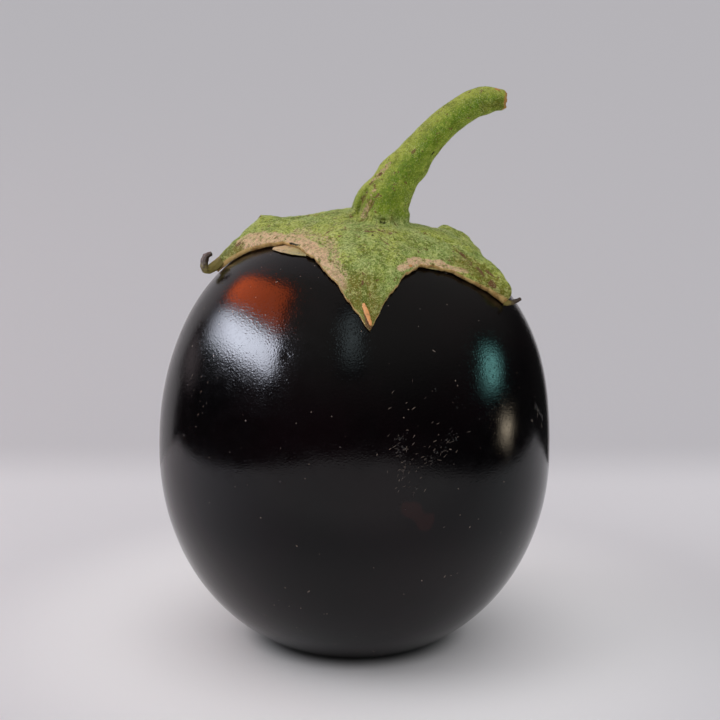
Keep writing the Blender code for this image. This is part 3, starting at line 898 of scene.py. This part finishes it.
def make_fruit():
    grid = fruit_grid()
    normals = grid_normals(grid)
    free = smooth_step(*UNEVEN_RISE, grid[..., 2])
    height = rough_field(grid, BROAD_UNEVEN) + rough_field(grid, FINE_UNEVEN) + add_bumps(grid, FRUIT_BUMPS)
    grid = grid + normals * (height * free)[..., None]
    foot = np.array([0.0, 0.0, SCAR_HOLLOW])
    crown = skin_place(np.zeros(1), np.array([WIDEST_Z + UPPER_HEIGHT]), np.zeros(1))[0]
    away = np.hypot(grid[..., 0], grid[..., 1])
    grid[..., 2] += SCAR_HOLLOW * smooth_step(SCAR_RADIUS, 0.0, away) * (grid[..., 2] < SCAR_TOP)
    points = np.concatenate([grid.reshape(-1, 3), [foot, crown]])
    obj = new_mesh_object("eggplant_skin", points, closed_faces(*grid.shape[:2]), skin_material())
    add_masks(obj, points, FRUIT_MARKS)
    scar = bell(np.hypot(points[:, 0], points[:, 1]) / SCAR_RADIUS) * (points[:, 2] < SCAR_TOP)
    add_mask(obj, "scar", scar)
    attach(obj, BODY)
    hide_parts("fruit")
    return grid, normals


def make_specks(grid, normals):
    """Pale dots and short scratches on the skin, each a flat lens that is sunk half way in."""
    draw = np.random.default_rng(SEED)
    rows, columns = grid.shape[:2]
    flat = grid.reshape(-1, 3)
    spots = []
    for _ in range(SPECKS):
        spot = int(draw.uniform(*SPECK_ROWS) * rows) * columns + int(draw.integers(columns))
        width = draw.uniform(*SPECK_WIDTH)
        stretch = draw.uniform(*SPECK_STRETCH) if draw.random() < SCRATCH_SHARE else 1.0
        spots.append((spot, width, width * stretch, draw.normal(size=3)))
    for start, end, spread, count in FRUIT_SCRATCHES:
        start = np.array(start)
        run = np.array(end) - start
        for _ in range(count):
            place = start + run * draw.random() + draw.normal(size=3) * spread
            spot = int(np.argmin(np.sum((flat - place) ** 2, axis=1)))
            heading = SCRATCH_WAY + draw.normal(size=3) * SCRATCH_TURN
            spots.append((spot, draw.uniform(*SCRATCH_WIDTH), draw.uniform(*SCRATCH_LENGTH), heading))
    points = []
    faces = []
    for spot, width, length, heading in spots:
        normal = normals.reshape(-1, 3)[spot]
        other = unit(np.cross(normal, heading))
        side = np.cross(other, normal)
        centre = flat[spot] + side * draw.uniform(-SPECK_STRAY, SPECK_STRAY)
        centre += other * draw.uniform(-SPECK_STRAY, SPECK_STRAY)
        start = len(points)
        for turn in once_round(SPECK_SIDES):
            reach = draw.uniform(*SPECK_RAGGED)
            points.append(centre + (side * math.cos(turn) * length + other * math.sin(turn) * width) * reach)
        points.append(centre + normal * SPECK_HEIGHT)
        points.append(centre - normal * SPECK_HEIGHT)
        for corner in range(SPECK_SIDES):
            after = (corner + 1) % SPECK_SIDES
            faces.append([start + corner, start + after, start + SPECK_SIDES])
            faces.append([start + after, start + corner, start + SPECK_SIDES + 1])
    tones = (SPECK_DARK, SPECK_LIGHT)
    material = two_toned_material("speck_pale", SPECK_TEXTURE, SPECK_TONES, tones, SPECK_ROUGHNESS)
    obj = new_mesh_object("skin_specks", np.array(points), faces, material, smooth=False)
    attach(obj, BODY)


# The calyx and stem's mesh

def lobe_folds(loft):
    """The ribs of the lobes, and the creases that part them."""
    crease = CREASE * bell((1.0 - np.abs(loft.across)) / CREASE_WIDTH)
    crease *= bell((loft.reach - FOOT_RADIUS) / CREASE_REACH) * (1.0 - smooth_step(*CREASE_STEM, loft.stem))
    ribs = 0.0
    for height, place, width, end in RIBS:
        rib = bell((np.abs(loft.across) - place) / width)
        ribs = ribs + height * rib * (1.0 - smooth_step(*end, loft.along))
    return ribs * smooth_step(*RIB_START, loft.reach) - crease


def calyx_relief(loft):
    """How far each point of the calyx and stem stands out from the plain loft."""
    on_stem = smooth_step(FOOT_RADIUS + STEM_BLEND, FOOT_RADIUS, loft.reach)
    cap = rough_field(loft.grain * (CAP_FIBRES, CAP_FIBRES, FIBRE_STRETCH), CAP_FIBRE)
    stem = rough_field(loft.grain * (STEM_FIBRES, STEM_FIBRES, FIBRE_STRETCH), STEM_FIBRE)
    lumps = rough_field(loft.grid, CALYX_LUMPS) + rough_field(loft.grid, CALYX_GRAINS)
    height = cap * (1.0 - on_stem) + stem * on_stem + lumps * (1.0 - STEM_SMOOTHNESS * on_stem)
    height += lobe_folds(loft) + add_bumps(loft.grid, CALYX_BUMPS)
    from_rim = smooth_step(*RIM_FREE, 1.0 - loft.share)
    from_cut = 1.0 - smooth_step(*CUT_FREE, loft.cut)
    torn = rough_field(loft.grid, CUT_RAGGED) * smooth_step(*CUT_EDGE, loft.stem)
    torn += END_SWELL * bell((loft.stem - END_PLACE) / END_SPAN)
    return (height * loft.top * from_rim + torn) * from_cut


def make_calyx():
    loft = calyx_loft()
    normals = grid_normals(loft.grid)
    grid = loft.grid + normals * calyx_relief(loft)[..., None]
    under = wrap(np.array([FOOT[0]]), np.array([FOOT[1]]), np.array([CLEARANCE]))[0]
    end = grid[-1].mean(axis=0) - stem_direction(1.0) * END_HOLLOW
    points = np.concatenate([grid.reshape(-1, 3), [under, end]])
    obj = new_mesh_object("calyx_and_stem_green", points, closed_faces(*grid.shape[:2]), calyx_material())

    def whole(values, under_value, end_value):
        return np.concatenate([values.ravel(), [under_value, end_value]])

    rim_gap = (1.0 - loft.share) * np.maximum(loft.reach, FOOT_RADIUS)
    rim = np.where(loft.top > 0.5, np.exp(-rim_gap / RIM_TAN), 1.0)
    add_mask(obj, "rim", whole(rim, 1.0, 0.0))
    add_mask(obj, "stem", whole(loft.stem, 0.0, 1.0))
    add_mask(obj, "cut", whole(loft.cut, 0.0, 1.0))
    add_masks(obj, points, CALYX_MARKS)
    # Strips round the stem. The light strip is painted light, paler on the side where the key light falls.
    for mask, (middle, half) in STEM_STRIPS.items():
        strip = bell(turn_between(loft.turn, middle) / half) * smooth_step(*STRIP_RISE, loft.stem)
        add_mask(obj, mask, whole(strip, 0.0, 0.0))
    add_mask(obj, "grain", np.concatenate([loft.grain.reshape(-1, 3), np.zeros((2, 3))]))
    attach(obj, BODY)
    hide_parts("calyx_and_stem")
    return loft, grid


def make_hairs(loft, grid):
    """Short pale hairs all over the calyx and stem, each a slim spike with its root sunk in."""
    draw = np.random.default_rng(SEED + 1)
    corners = [grid[:-1], np.roll(grid[:-1], -1, axis=1), np.roll(grid[1:], -1, axis=1), grid[1:]]
    crossed = np.cross(corners[2] - corners[0], corners[3] - corners[1])
    open_skin = loft.top[:-1] * (loft.cut[:-1] < HAIR_CUT)
    density = (np.linalg.norm(crossed, axis=2) * open_skin).ravel()
    picked = draw.choice(density.size, size=HAIRS, p=density / density.sum())
    across, up = draw.random((HAIRS, 2, 1)).transpose(1, 0, 2)
    own = [corner.reshape(-1, 3)[picked] for corner in corners]
    low = own[0] * (1 - across) + own[1] * across
    high = own[3] * (1 - across) + own[2] * across
    root = low * (1 - up) + high * up
    normal = unit(crossed).reshape(-1, 3)[picked]
    lean = draw.normal(size=(HAIRS, 3))
    lean = unit(lean - normal * np.sum(lean * normal, axis=1, keepdims=True))
    rise = draw.uniform(*HAIR_RISE, size=(HAIRS, 1))
    way = normal * rise + lean * np.sqrt(1.0 - rise**2)
    length = draw.uniform(*HAIR_LENGTH, size=(HAIRS, 1))
    side = unit(np.cross(way, lean + normal))
    other = np.cross(way, side)
    base = root - way * HAIR_ROOT
    points = [base + way * (length + HAIR_ROOT)]
    for turn in once_round(HAIR_SIDES):
        points.append(base + (side * math.cos(turn) + other * math.sin(turn)) * HAIR_RADIUS)
    points = np.stack(points, axis=1).reshape(-1, 3)
    first = np.arange(HAIRS)[:, None] * (HAIR_SIDES + 1)
    # Each hair's first point is its tip, and the other three are the corners of its root.
    pattern = np.array([[1, 2, 0], [2, 3, 0], [3, 1, 0], [1, 3, 2]])
    faces = (first[:, None] + pattern).reshape(-1, 3).tolist()
    tones = (HAIR_GREEN, HAIR_WHITE)
    material = two_toned_material("hair_white", HAIR_TEXTURE, HAIR_TONES, tones, HAIR_ROUGHNESS)
    obj = new_mesh_object("calyx_hairs", points, faces, material, smooth=False)
    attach(obj, BODY)


# A tip is flattened along its facing, so that a papery one can lie on the skin.
Tip = collections.namedtuple("Tip", "name route radii facing flatness twist colours")


def make_tip(tip, number):
    """A dried tip: a shrivelled tube along a smooth route, closed at both ends."""
    shares = np.linspace(0.0, 1.0, TIP_RINGS)
    places = np.array([smooth_place(tip.route, share) for share in shares])
    ways = unit(np.gradient(places, axis=0))
    radii = np.interp(shares, np.linspace(0.0, 1.0, len(tip.radii)), tip.radii)
    turns = once_round(TIP_SIDES)
    side = unit(np.cross(tip.facing, ways))
    other = np.cross(ways, side)
    rings = []
    for place, one, two, radius, share in zip(places, side, other, radii, shares):
        spun = turns + tip.twist * share
        furrow = 1.0 + sum(depth * np.cos(count * spun + turn) for depth, count, turn in TIP_FURROWS)
        wide = np.outer(np.cos(turns), one) + np.outer(np.sin(turns), two) * tip.flatness
        rings.append(place + wide * (radius * furrow)[:, None])
    grid = np.stack(rings)
    shrivelled = TIP_SHRIVELLED._replace(seed=TIP_SHRIVELLED.seed + number)
    grid += grid_normals(grid) * rough_field(grid, shrivelled)[..., None]
    ends = [places[0] - ways[0] * TIP_ENDS[0], places[-1] + ways[-1] * TIP_ENDS[1]]
    points = np.concatenate([grid.reshape(-1, 3), ends])
    material = dried_material(tip.name + "_brown", tip.colours)
    obj = new_mesh_object(tip.name, points, closed_faces(TIP_RINGS, TIP_SIDES), material)
    add_mask(obj, "share", np.concatenate([np.repeat(shares, TIP_SIDES), [0.0, 1.0]]))
    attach(obj, BODY)


# The materials

class Shader:
    """The nodes of a material or of the world, put together step by step."""

    def __init__(self, owner):
        owner.use_nodes = True
        self.owner = owner
        self.tree = owner.node_tree
        self.colour = (0.0, 0.0, 0.0)

    def feed(self, socket, value):
        """Links a socket to another, or sets its value. A colour is three numbers."""
        if isinstance(value, bpy.types.NodeSocket):
            self.tree.links.new(value, socket)
        elif socket.type == "RGBA":
            socket.default_value = (*value, 1.0)
        else:
            socket.default_value = value

    def node(self, kind, sockets, **settings):
        made = self.tree.nodes.new(kind)
        for name, value in settings.items():
            setattr(made, name, value)
        for name, value in sockets.items():
            self.feed(made.inputs[name], value)
        return made

    def place(self):
        return self.node("ShaderNodeTexCoord", {}).outputs["Object"]

    def mask(self, name, output="Fac"):
        return self.node("ShaderNodeAttribute", {}, attribute_name=name).outputs[output]

    def stretched(self, vector, scale):
        return self.node("ShaderNodeMapping", {"Vector": vector, "Scale": scale}).outputs["Vector"]

    def noise(self, vector, scale, detail, roughness=0.5):
        sockets = {"Vector": vector, "Scale": scale, "Detail": detail, "Roughness": roughness}
        return self.node("ShaderNodeTexNoise", sockets).outputs["Fac"]

    def cells(self, vector, scale):
        return self.node("ShaderNodeTexVoronoi", {"Vector": vector, "Scale": scale}).outputs["Distance"]

    def axis(self, vector, name):
        return self.node("ShaderNodeSeparateXYZ", {"Vector": vector}).outputs[name]

    def between(self, value, low, high, start=0.0, end=1.0):
        """Start up to low, end from high on, and a smooth step between them."""
        sockets = {"Value": value, "From Min": low, "From Max": high, "To Min": start, "To Max": end}
        return self.node("ShaderNodeMapRange", sockets, interpolation_type="SMOOTHSTEP").outputs["Result"]

    def calculate(self, operation, first, second):
        return self.node("ShaderNodeMath", {0: first, 1: second}, operation=operation).outputs["Value"]

    def plus(self, first, second):
        return self.calculate("ADD", first, second)

    def times(self, first, second):
        return self.calculate("MULTIPLY", first, second)

    def mix(self, share, first, second):
        """One colour passing into another."""
        return self.node("ShaderNodeMix", {0: share, 6: first, 7: second}, data_type="RGBA").outputs[2]

    def paint(self, share, colour):
        """Lays a colour over all that is painted so far."""
        self.colour = self.mix(share, self.colour, colour)

    def ragged(self, mask, texture, low, high, spread):
        """A soft mask whose edge follows a texture, as a blotch's edge does."""
        shift = self.times(self.plus(texture, -0.5), spread)
        return self.between(self.plus(mask, shift), low, high)

    def bump(self, height, distance):
        made = self.node("ShaderNodeBump", {"Height": height, "Distance": distance})
        self.feed(self.tree.nodes["Principled BSDF"].inputs["Normal"], made.outputs["Normal"])

    def finish(self, roughness, **constants):
        """Gives the painted colour, the roughness and other constants to the surface."""
        surface = self.tree.nodes["Principled BSDF"]
        self.feed(surface.inputs["Base Color"], self.colour)
        self.feed(surface.inputs["Roughness"], roughness)
        for name, value in constants.items():
            surface.inputs[name.replace("_", " ")].default_value = value
        return self.owner


def skin_material():
    """Near-black waxy skin with a fine orange-peel grain, a faint red tint low down and corky scuffs."""
    shader = Shader(bpy.data.materials.new("fruit_skin"))
    place = shader.place()
    patch = shader.noise(place, *SKIN_PATCH)
    plum = shader.between(shader.noise(place, *SKIN_BROAD), *PLUM_PASSAGE)
    shader.colour = shader.mix(plum, SKIN_BLACK, SKIN_PLUM)
    shader.paint(shader.ragged(shader.mask("red"), patch, *RED_EDGE), SKIN_RED)
    scuff = shader.ragged(shader.mask("scuff"), shader.noise(place, *SKIN_CRACKLE), *SCUFF_EDGE)
    shader.paint(scuff, CORK)
    scar = shader.ragged(shader.mask("scar"), patch, *SCAR_EDGE)
    shader.paint(scar, SCAR_BROWN)
    dull = shader.times(shader.calculate("MAXIMUM", scuff, scar), CORK_ROUGHNESS)
    rough = shader.plus(shader.between(patch, *SKIN_ROUGHNESS), dull)
    pimples = shader.between(shader.cells(place, SKIN_PIMPLES), *PIMPLE_DOMES)
    grain = shader.plus(shader.noise(place, *SKIN_PEEL), shader.times(pimples, PIMPLE_SHARE))
    grain = shader.times(grain, shader.between(shader.axis(place, "Z"), *GRAIN_RISE))
    shader.bump(shader.plus(grain, shader.times(scuff, SCUFF_SHARE)), SKIN_GRAIN)
    return shader.finish(rough, IOR=SKIN_IOR)


def two_toned_material(name, texture, passage, tones, roughness):
    """Two tones that pass into each other as a noise texture has it."""
    shader = Shader(bpy.data.materials.new(name))
    shader.colour = shader.mix(shader.between(shader.noise(shader.place(), *texture), *passage), *tones)
    return shader.finish(roughness)


def calyx_material():
    """Felted green tissue: fine streaks along the lobes, mottling, tan rims, beige scars and brown dots."""
    shader = Shader(bpy.data.materials.new("calyx_green"))
    place = shader.place()
    grain = shader.mask("grain", "Vector")
    looks = {name: shader.noise(place, *texture) for name, texture in CALYX_TEXTURES.items()}
    broad, blotch, crumbs, mottle = (looks[name] for name in ("broad", "blotch", "crumbs", "mottle"))
    masks = {}
    for name, (texture, edge) in MASK_EDGES.items():
        masks[name] = shader.ragged(shader.mask(name), looks[texture], *edge)
    streak = shader.noise(shader.stretched(grain, STREAK_STRETCH), *STREAK_TEXTURE)
    fine = shader.times(shader.plus(streak, looks["felt"]), 0.5)
    on_stem = shader.between(shader.mask("stem"), *ON_STEM)
    pale_green = shader.mix(on_stem, GREEN_PALE, STEM_PALE)
    liveliness = shader.times(shader.between(on_stem, *STEM_CALM), shader.between(masks["scar"], *SCAR_CALM))

    def paint_flecks(texture, passages):
        for passage, tone in zip(passages, (GREEN_DARK, pale_green)):
            shader.paint(shader.times(shader.between(texture, *passage), liveliness), tone)

    # Painted light: the stem is paler on its upper left side, where the key light falls.
    stem = shader.mix(shader.mask("light"), GREEN_STEM, STEM_PALE)
    stem = shader.mix(shader.mask("grey"), stem, STEM_DULL)
    stem = shader.mix(masks["strip"], stem, STEM_SATURATED)
    shader.colour = shader.mix(shader.between(broad, *BLUE_PASSAGE), GREEN_YELLOW, GREEN_BLUE)
    shader.paint(shader.between(on_stem, *STEM_COVER), stem)
    paint_flecks(blotch, BLOTCH_FLECKS)
    # Paler green: the tissue's pale lines, and painted light on upturned patches
    shader.paint(masks["pale"], GREEN_LIGHT)
    scar = shader.mix(shader.between(crumbs, *SCAR_TONES), SCAR_BEIGE, SCAR_GREEN)
    scar = shader.mix(shader.between(mottle, *SCAR_SPOTS), scar, SCAR_SPOT)
    shader.paint(masks["scar"], scar)
    # Olive: dried tissue, and painted shade in the creases at the stem's foot
    shader.paint(masks["olive"], OLIVE)
    # Deep green: partly painted shade in grooves of the calyx
    shader.paint(masks["deep"], GREEN_DEEP)
    shader.paint(masks["pink"], PINK_SPOT)
    paint_flecks(mottle, MOTTLE_FLECKS)
    paint_flecks(fine, FINE_FLECKS)
    dots = shader.between(shader.cells(shader.stretched(grain, DOT_STRETCH), DOT_CELLS), *DOT_CENTRES)
    dots = shader.times(dots, shader.between(blotch, *DOT_CLUSTERS))
    shader.paint(shader.times(dots, liveliness), GREEN_SHADE)
    flecks = shader.between(shader.cells(place, FLECK_CELLS), *FLECK_CENTRES)
    flecks = shader.times(flecks, shader.between(crumbs, *FLECK_CLUSTERS))
    shader.paint(flecks, shader.mix(shader.between(broad, *FLECK_TONES), BROWN_DOT, GREEN_SHADE))
    shader.paint(masks["rim"], shader.mix(shader.between(blotch, *RIM_TONES), RIM_LIGHT, RIM_DARK))
    shader.paint(shader.between(crumbs, *BROWN_DOTS), BROWN_DOT)
    shader.paint(masks["brown"], BROWN_PATCH)
    # Painted shade: near-black in the small holes, and the dark dots
    shader.paint(masks["dark"], DARK_DOT_AND_HOLE_SHADE)
    shader.paint(masks["orange"], ORANGE_DRY)
    worn = shader.ragged(shader.between(shader.mask("stem"), *WORN_END), crumbs, *WORN_EDGE)
    shader.paint(worn, CUT_RIM)
    pith = shader.mix(shader.between(crumbs, *PITH_TONES), CUT_PALE, CUT_BROWN)
    cut = shader.mix(shader.between(shader.mask("cut"), *CUT_INSIDE), CUT_RIM, pith)
    shader.paint(shader.between(shader.mask("cut"), *CUT_START), cut)
    stars = shader.between(shader.cells(place, STAR_CELLS), *FUZZ_STARS)
    fuzzy = shader.times(shader.between(crumbs, *FUZZ_PATCHES), stars)
    fuzzy = shader.times(fuzzy, shader.between(masks["olive"], *FUZZ_OLIVE))
    shader.paint(shader.times(fuzzy, liveliness), FUZZ_WHITE)
    height = shader.plus(shader.times(looks["fuzz"], FUZZ_SHARE), shader.plus(fine, crumbs))
    shader.bump(height, CALYX_GRAIN)
    return shader.finish(CALYX_ROUGHNESS, Specular_IOR_Level=CALYX_SPECULAR)


def dried_material(name, colours):
    """Dried tissue, one colour passing into another along the tip, with darker crumbs."""
    shader = Shader(bpy.data.materials.new(name))
    crumbs = shader.noise(shader.place(), *TIP_TEXTURE)
    shader.colour = shader.mix(shader.ragged(shader.mask("share"), crumbs, *TIP_EDGE), *colours)
    shader.paint(shader.between(crumbs, *TIP_CRUMBS), BROWN_DARK)
    shader.bump(crumbs, TIP_GRAIN)
    return shader.finish(TIP_ROUGHNESS)


def floor_material():
    shader = Shader(bpy.data.materials.new("floor_pale"))
    place = shader.place()
    depth = shader.axis(place, "Y")
    reach = shader.node("ShaderNodeVectorMath", {0: place}, operation="LENGTH").outputs["Value"]
    # Painted light: the floor is lighter in front of the object
    shade = shader.mix(shader.between(depth, *FLOOR_FRONT_LIGHT), FLOOR_PAINTED_LIGHT, FLOOR_PALE)
    # Painted light: the floor is lighter in a ring round the object
    shader.colour = shader.mix(shader.between(reach, *FLOOR_LIGHT_RING), FLOOR_PAINTED_LIGHT, shade)
    shader.paint(shader.between(depth, *FLOOR_TURN), FLOOR_FAR)
    # Painted contact shadow: the floor darkens towards the object's foot
    shader.colour = shader.mix(shader.between(reach, *FLOOR_CONTACT_SHADOW), FLOOR_SHADE, shader.colour)
    return shader.finish(FLOOR_ROUGHNESS)


def glow_material(name, colour, strength):
    """Light of one colour, as strong at each point as the mask called glow says."""
    shader = Shader(bpy.data.materials.new(name))
    shader.tree.nodes.remove(shader.tree.nodes["Principled BSDF"])
    level = shader.times(shader.mask("glow"), strength)
    glow = shader.node("ShaderNodeEmission", {"Color": colour, "Strength": level})
    shader.feed(shader.tree.nodes["Material Output"].inputs["Surface"], glow.outputs["Emission"])
    return shader.owner


# The stage: floor, light cards and the room's dim light

def make_floor():
    """A pale floor. Its far part lies a little lower, and mirrored light does not see it."""
    material = floor_material()
    (left, front), (right, back) = NEAR_FLOOR_LOW, NEAR_FLOOR_HIGH
    corners = np.array([(left, front, 0.0), (right, front, 0.0), (right, back, 0.0), (left, back, 0.0)])
    corners -= (0.0, 0.0, FLOOR_DROP)
    near = new_mesh_object("floor_near", corners / MM, [[0, 1, 2, 3]], material)
    turns = once_round(FLOOR_SIDES)
    circle = np.stack([np.cos(turns), np.sin(turns), np.zeros(FLOOR_SIDES)], axis=1) * FAR_FLOOR
    points = np.concatenate([circle, [[0.0, 0.0, 0.0]]]) - (0.0, 0.0, FLOOR_DROP + FLOOR_STEP)
    far = new_mesh_object("floor_far", points / MM, cap_faces(0, FLOOR_SIDES, FLOOR_SIDES, True), material)
    far.visible_glossy = False


def direction(azimuth, elevation):
    """The way to something as the fruit sees it. Azimuth 0 is the camera's side and 90 the right."""
    a = math.radians(azimuth)
    e = math.radians(elevation)
    return np.array([math.sin(a) * math.cos(e), -math.cos(a) * math.cos(e), math.sin(e)])


Card = collections.namedtuple("Card", "name corners distance colour strength fade")
CARD_CENTRE = (0.0, 0.0, 85.0)
CARD_STEPS = 24
# Corners are azimuths and elevations in degrees as the fruit sees them. Fade is the share of a card's width
# or height over which it grows dim towards its left edge, its right edge, and its low and high edges.
CARDS = (
    Card(
        "card_window",
        ((-122, 10), (-51, 20), (-60, 43), (-134, 20)),
        1.25,
        (0.88, 0.93, 1.08),
        28.0,
        (0.6, 0.08, 0.35),
    ),
    Card(
        "card_warm",
        ((-132, 22), (-56, 39), (-104, 63), (-141, 28)),
        1.35,
        (1.0, 0.17, 0.055),
        6.4,
        (0.12, 0.12, 0.15),
    ),
    Card(
        "card_teal",
        ((73, 6), (93, 1), (110, 18), (94, 30)),
        1.1,
        (0.38, 1.0, 0.95),
        9.0,
        (0.5, 0.5, 0.5),
    ),
    Card(
        "card_beige",
        ((85, -11), (100, -13), (104, -4), (89, -1)),
        0.9,
        (1.0, 0.84, 0.62),
        9.0,
        (0.5, 0.5, 0.5),
    ),
    Card(
        "card_ceiling",
        ((-12, 29), (5, 29), (17, 78), (-32, 75)),
        1.4,
        (0.82, 1.0, 1.04),
        2.1,
        (0.4, 0.4, 0.4),
    ),
    Card(
        "card_left",
        ((-136, -2), (-110, -2), (-110, 11), (-136, 11)),
        1.3,
        (1.0, 0.84, 0.88),
        0.5,
        (0.3, 0.3, 0.4),
    ),
)


def make_cards():
    """Glowing cards that show in the object's gloss alone. The camera does not see them."""
    steps = np.linspace(0.0, 1.0, CARD_STEPS + 1)
    across, up = np.meshgrid(steps, steps)
    row = np.arange(CARD_STEPS)
    start = (row[:, None] * (CARD_STEPS + 1) + row[None, :]).ravel()
    faces = np.stack([start, start + 1, start + CARD_STEPS + 2, start + CARD_STEPS + 1], axis=1).tolist()
    for card in CARDS:
        low_left, low_right, high_right, high_left = (direction(*corner) for corner in card.corners)
        low = low_left + (low_right - low_left) * across.reshape(-1, 1)
        high = high_left + (high_right - high_left) * across.reshape(-1, 1)
        ways = unit(low + (high - low) * up.reshape(-1, 1))
        points = np.array(CARD_CENTRE) + ways * card.distance / MM
        glow = glow_material(card.name + "_glow", card.colour, card.strength)
        obj = new_mesh_object(card.name, points, faces, glow, smooth=False)
        inward = (across.ravel(), 1.0 - across.ravel(), np.minimum(up, 1.0 - up).ravel())
        edges = [smooth_step(0.0, fade, share) for fade, share in zip(card.fade, inward)]
        add_mask(obj, "glow", edges[0] * edges[1] * edges[2])
        obj.visible_camera = False
        obj.visible_shadow = False
        obj.visible_diffuse = False


def make_key():
    """The large soft light from the left, which does not show in the skin's gloss."""
    light = bpy.data.lights.new("key", "SUN")
    light.angle = math.radians(KEY_ANGLE)
    light.energy = KEY_STRENGTH
    light.color = KEY_COLOUR
    obj = bpy.data.objects.new("key", light)
    obj.location = Vector(direction(KEY_AZIMUTH, KEY_ELEVATION))
    obj.rotation_euler = (-obj.location).to_track_quat("-Z", "Y").to_euler()
    obj.visible_glossy = False
    obj.visible_camera = False
    bpy.context.scene.collection.objects.link(obj)


def make_room():
    """The world: a dim room that is pale behind the object, and a plain pale backdrop for the camera."""
    world = bpy.data.worlds.new("room")
    bpy.context.scene.world = world
    shader = Shader(world)
    way = shader.node("ShaderNodeTexCoord", {}).outputs["Generated"]
    rise = shader.between(shader.axis(way, "Z"), *ROOM_RISE)
    level = shader.node("ShaderNodeVectorMath", {0: way, 1: (1.0, 1.0, 0.0)}, operation="MULTIPLY")
    heading = shader.node("ShaderNodeVectorMath", {0: level.outputs["Vector"]}, operation="NORMALIZE")
    sockets = {0: heading.outputs["Vector"], 1: WALL_WAY}
    toward = shader.node("ShaderNodeVectorMath", sockets, operation="DOT_PRODUCT")
    shader.colour = shader.mix(rise, ROOM_LOW, ROOM_HIGH)
    shader.paint(shader.between(toward.outputs["Value"], *WALL_EDGE), WALL_COLOUR)
    path = shader.node("ShaderNodeLightPath", {})
    soft = shader.mix(rise, SOFT_LOW, SOFT_HIGH)
    shader.colour = shader.mix(path.outputs["Is Glossy Ray"], soft, shader.colour)
    shader.paint(path.outputs["Is Camera Ray"], PLAIN_COLOUR)
    shader.feed(shader.tree.nodes["Background"].inputs["Color"], shader.colour)


def make_camera():
    data = bpy.data.cameras.new("camera")
    data.lens = CAMERA_LENS
    data.sensor_width = CAMERA_SENSOR
    data.clip_start, data.clip_end = CAMERA_RANGE
    camera = bpy.data.objects.new("camera", data)
    camera.location = Vector(CAMERA_PLACE) * MM
    camera.rotation_euler = (math.radians(CAMERA_TILT), 0.0, 0.0)
    bpy.context.scene.collection.objects.link(camera)
    bpy.context.scene.camera = camera


TIPS = (
    Tip(
        "left_hook",
        (
            (-35.6, 1.5, 104.5),
            (-38.0, 1.2, 102.7),
            (-39.7, 0.9, 102.2),
            (-40.2, 0.8, 103.8),
            (-39.7, 0.8, 105.6),
            (-38.3, 0.8, 106.5),
        ),
        (1.1, 1.08, 1.0, 0.92, 0.8, 0.5),
        (0.0, 1.0, 0.0),
        0.85,
        1.5,
        (TIP_OLIVE, DRY_BLACK),
    ),
    Tip(
        "right_stub",
        ((39.2, -14.2, 96.4), (41.2, -14.4, 96.3), (43.6, -14.8, 97.4)),
        (0.7, 0.55, 0.38),
        (0.0, 1.0, 0.0),
        0.9,
        1.0,
        (TIP_OLIVE, DRY_BLACK),
    ),
    Tip(
        "front_spine",
        ((2.3, -38.3, 101.4), (3.1, -40.3, 99.6), (4.2, -42.0, 96.7)),
        (0.3, 0.52, 0.25),
        (0.0, 1.0, 0.0),
        0.8,
        0.8,
        (DRY_ORANGE, DRY_ORANGE),
    ),
    Tip(
        "left_flap",
        ((-21.2, -10.9, 110.2), (-18.2, -13.9, 110.7), (-15.1, -17.0, 110.7), (-12.2, -19.8, 110.2)),
        (0.5, 1.5, 1.45, 0.5),
        (-0.28, -0.28, 0.92),
        0.22,
        0.3,
        (PAPER_TAN, PAPER_GREEN),
    ),
    Tip(
        "right_flap",
        ((18.3, -22.2, 107.5), (20.9, -20.9, 107.2), (23.7, -19.4, 106.6)),
        (0.4, 0.95, 0.4),
        (0.33, -0.36, 0.87),
        0.25,
        0.3,
        (PAPER_GREEN, PAPER_GREEN),
    ),
)

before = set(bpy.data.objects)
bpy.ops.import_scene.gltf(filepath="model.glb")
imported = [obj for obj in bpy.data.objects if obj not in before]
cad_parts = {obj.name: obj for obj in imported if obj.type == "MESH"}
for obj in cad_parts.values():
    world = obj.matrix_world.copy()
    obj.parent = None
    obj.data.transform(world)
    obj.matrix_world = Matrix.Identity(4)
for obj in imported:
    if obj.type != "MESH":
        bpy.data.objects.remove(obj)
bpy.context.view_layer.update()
bpy.context.scene.view_settings.view_transform = "Standard"
make_camera()
make_floor()
make_cards()
make_key()
make_room()
fruit_points, fruit_normals = make_fruit()
make_specks(fruit_points, fruit_normals)
calyx_facts, calyx_points = make_calyx()
make_hairs(calyx_facts, calyx_points)
for number, dried in enumerate(TIPS):
    make_tip(dried, number)
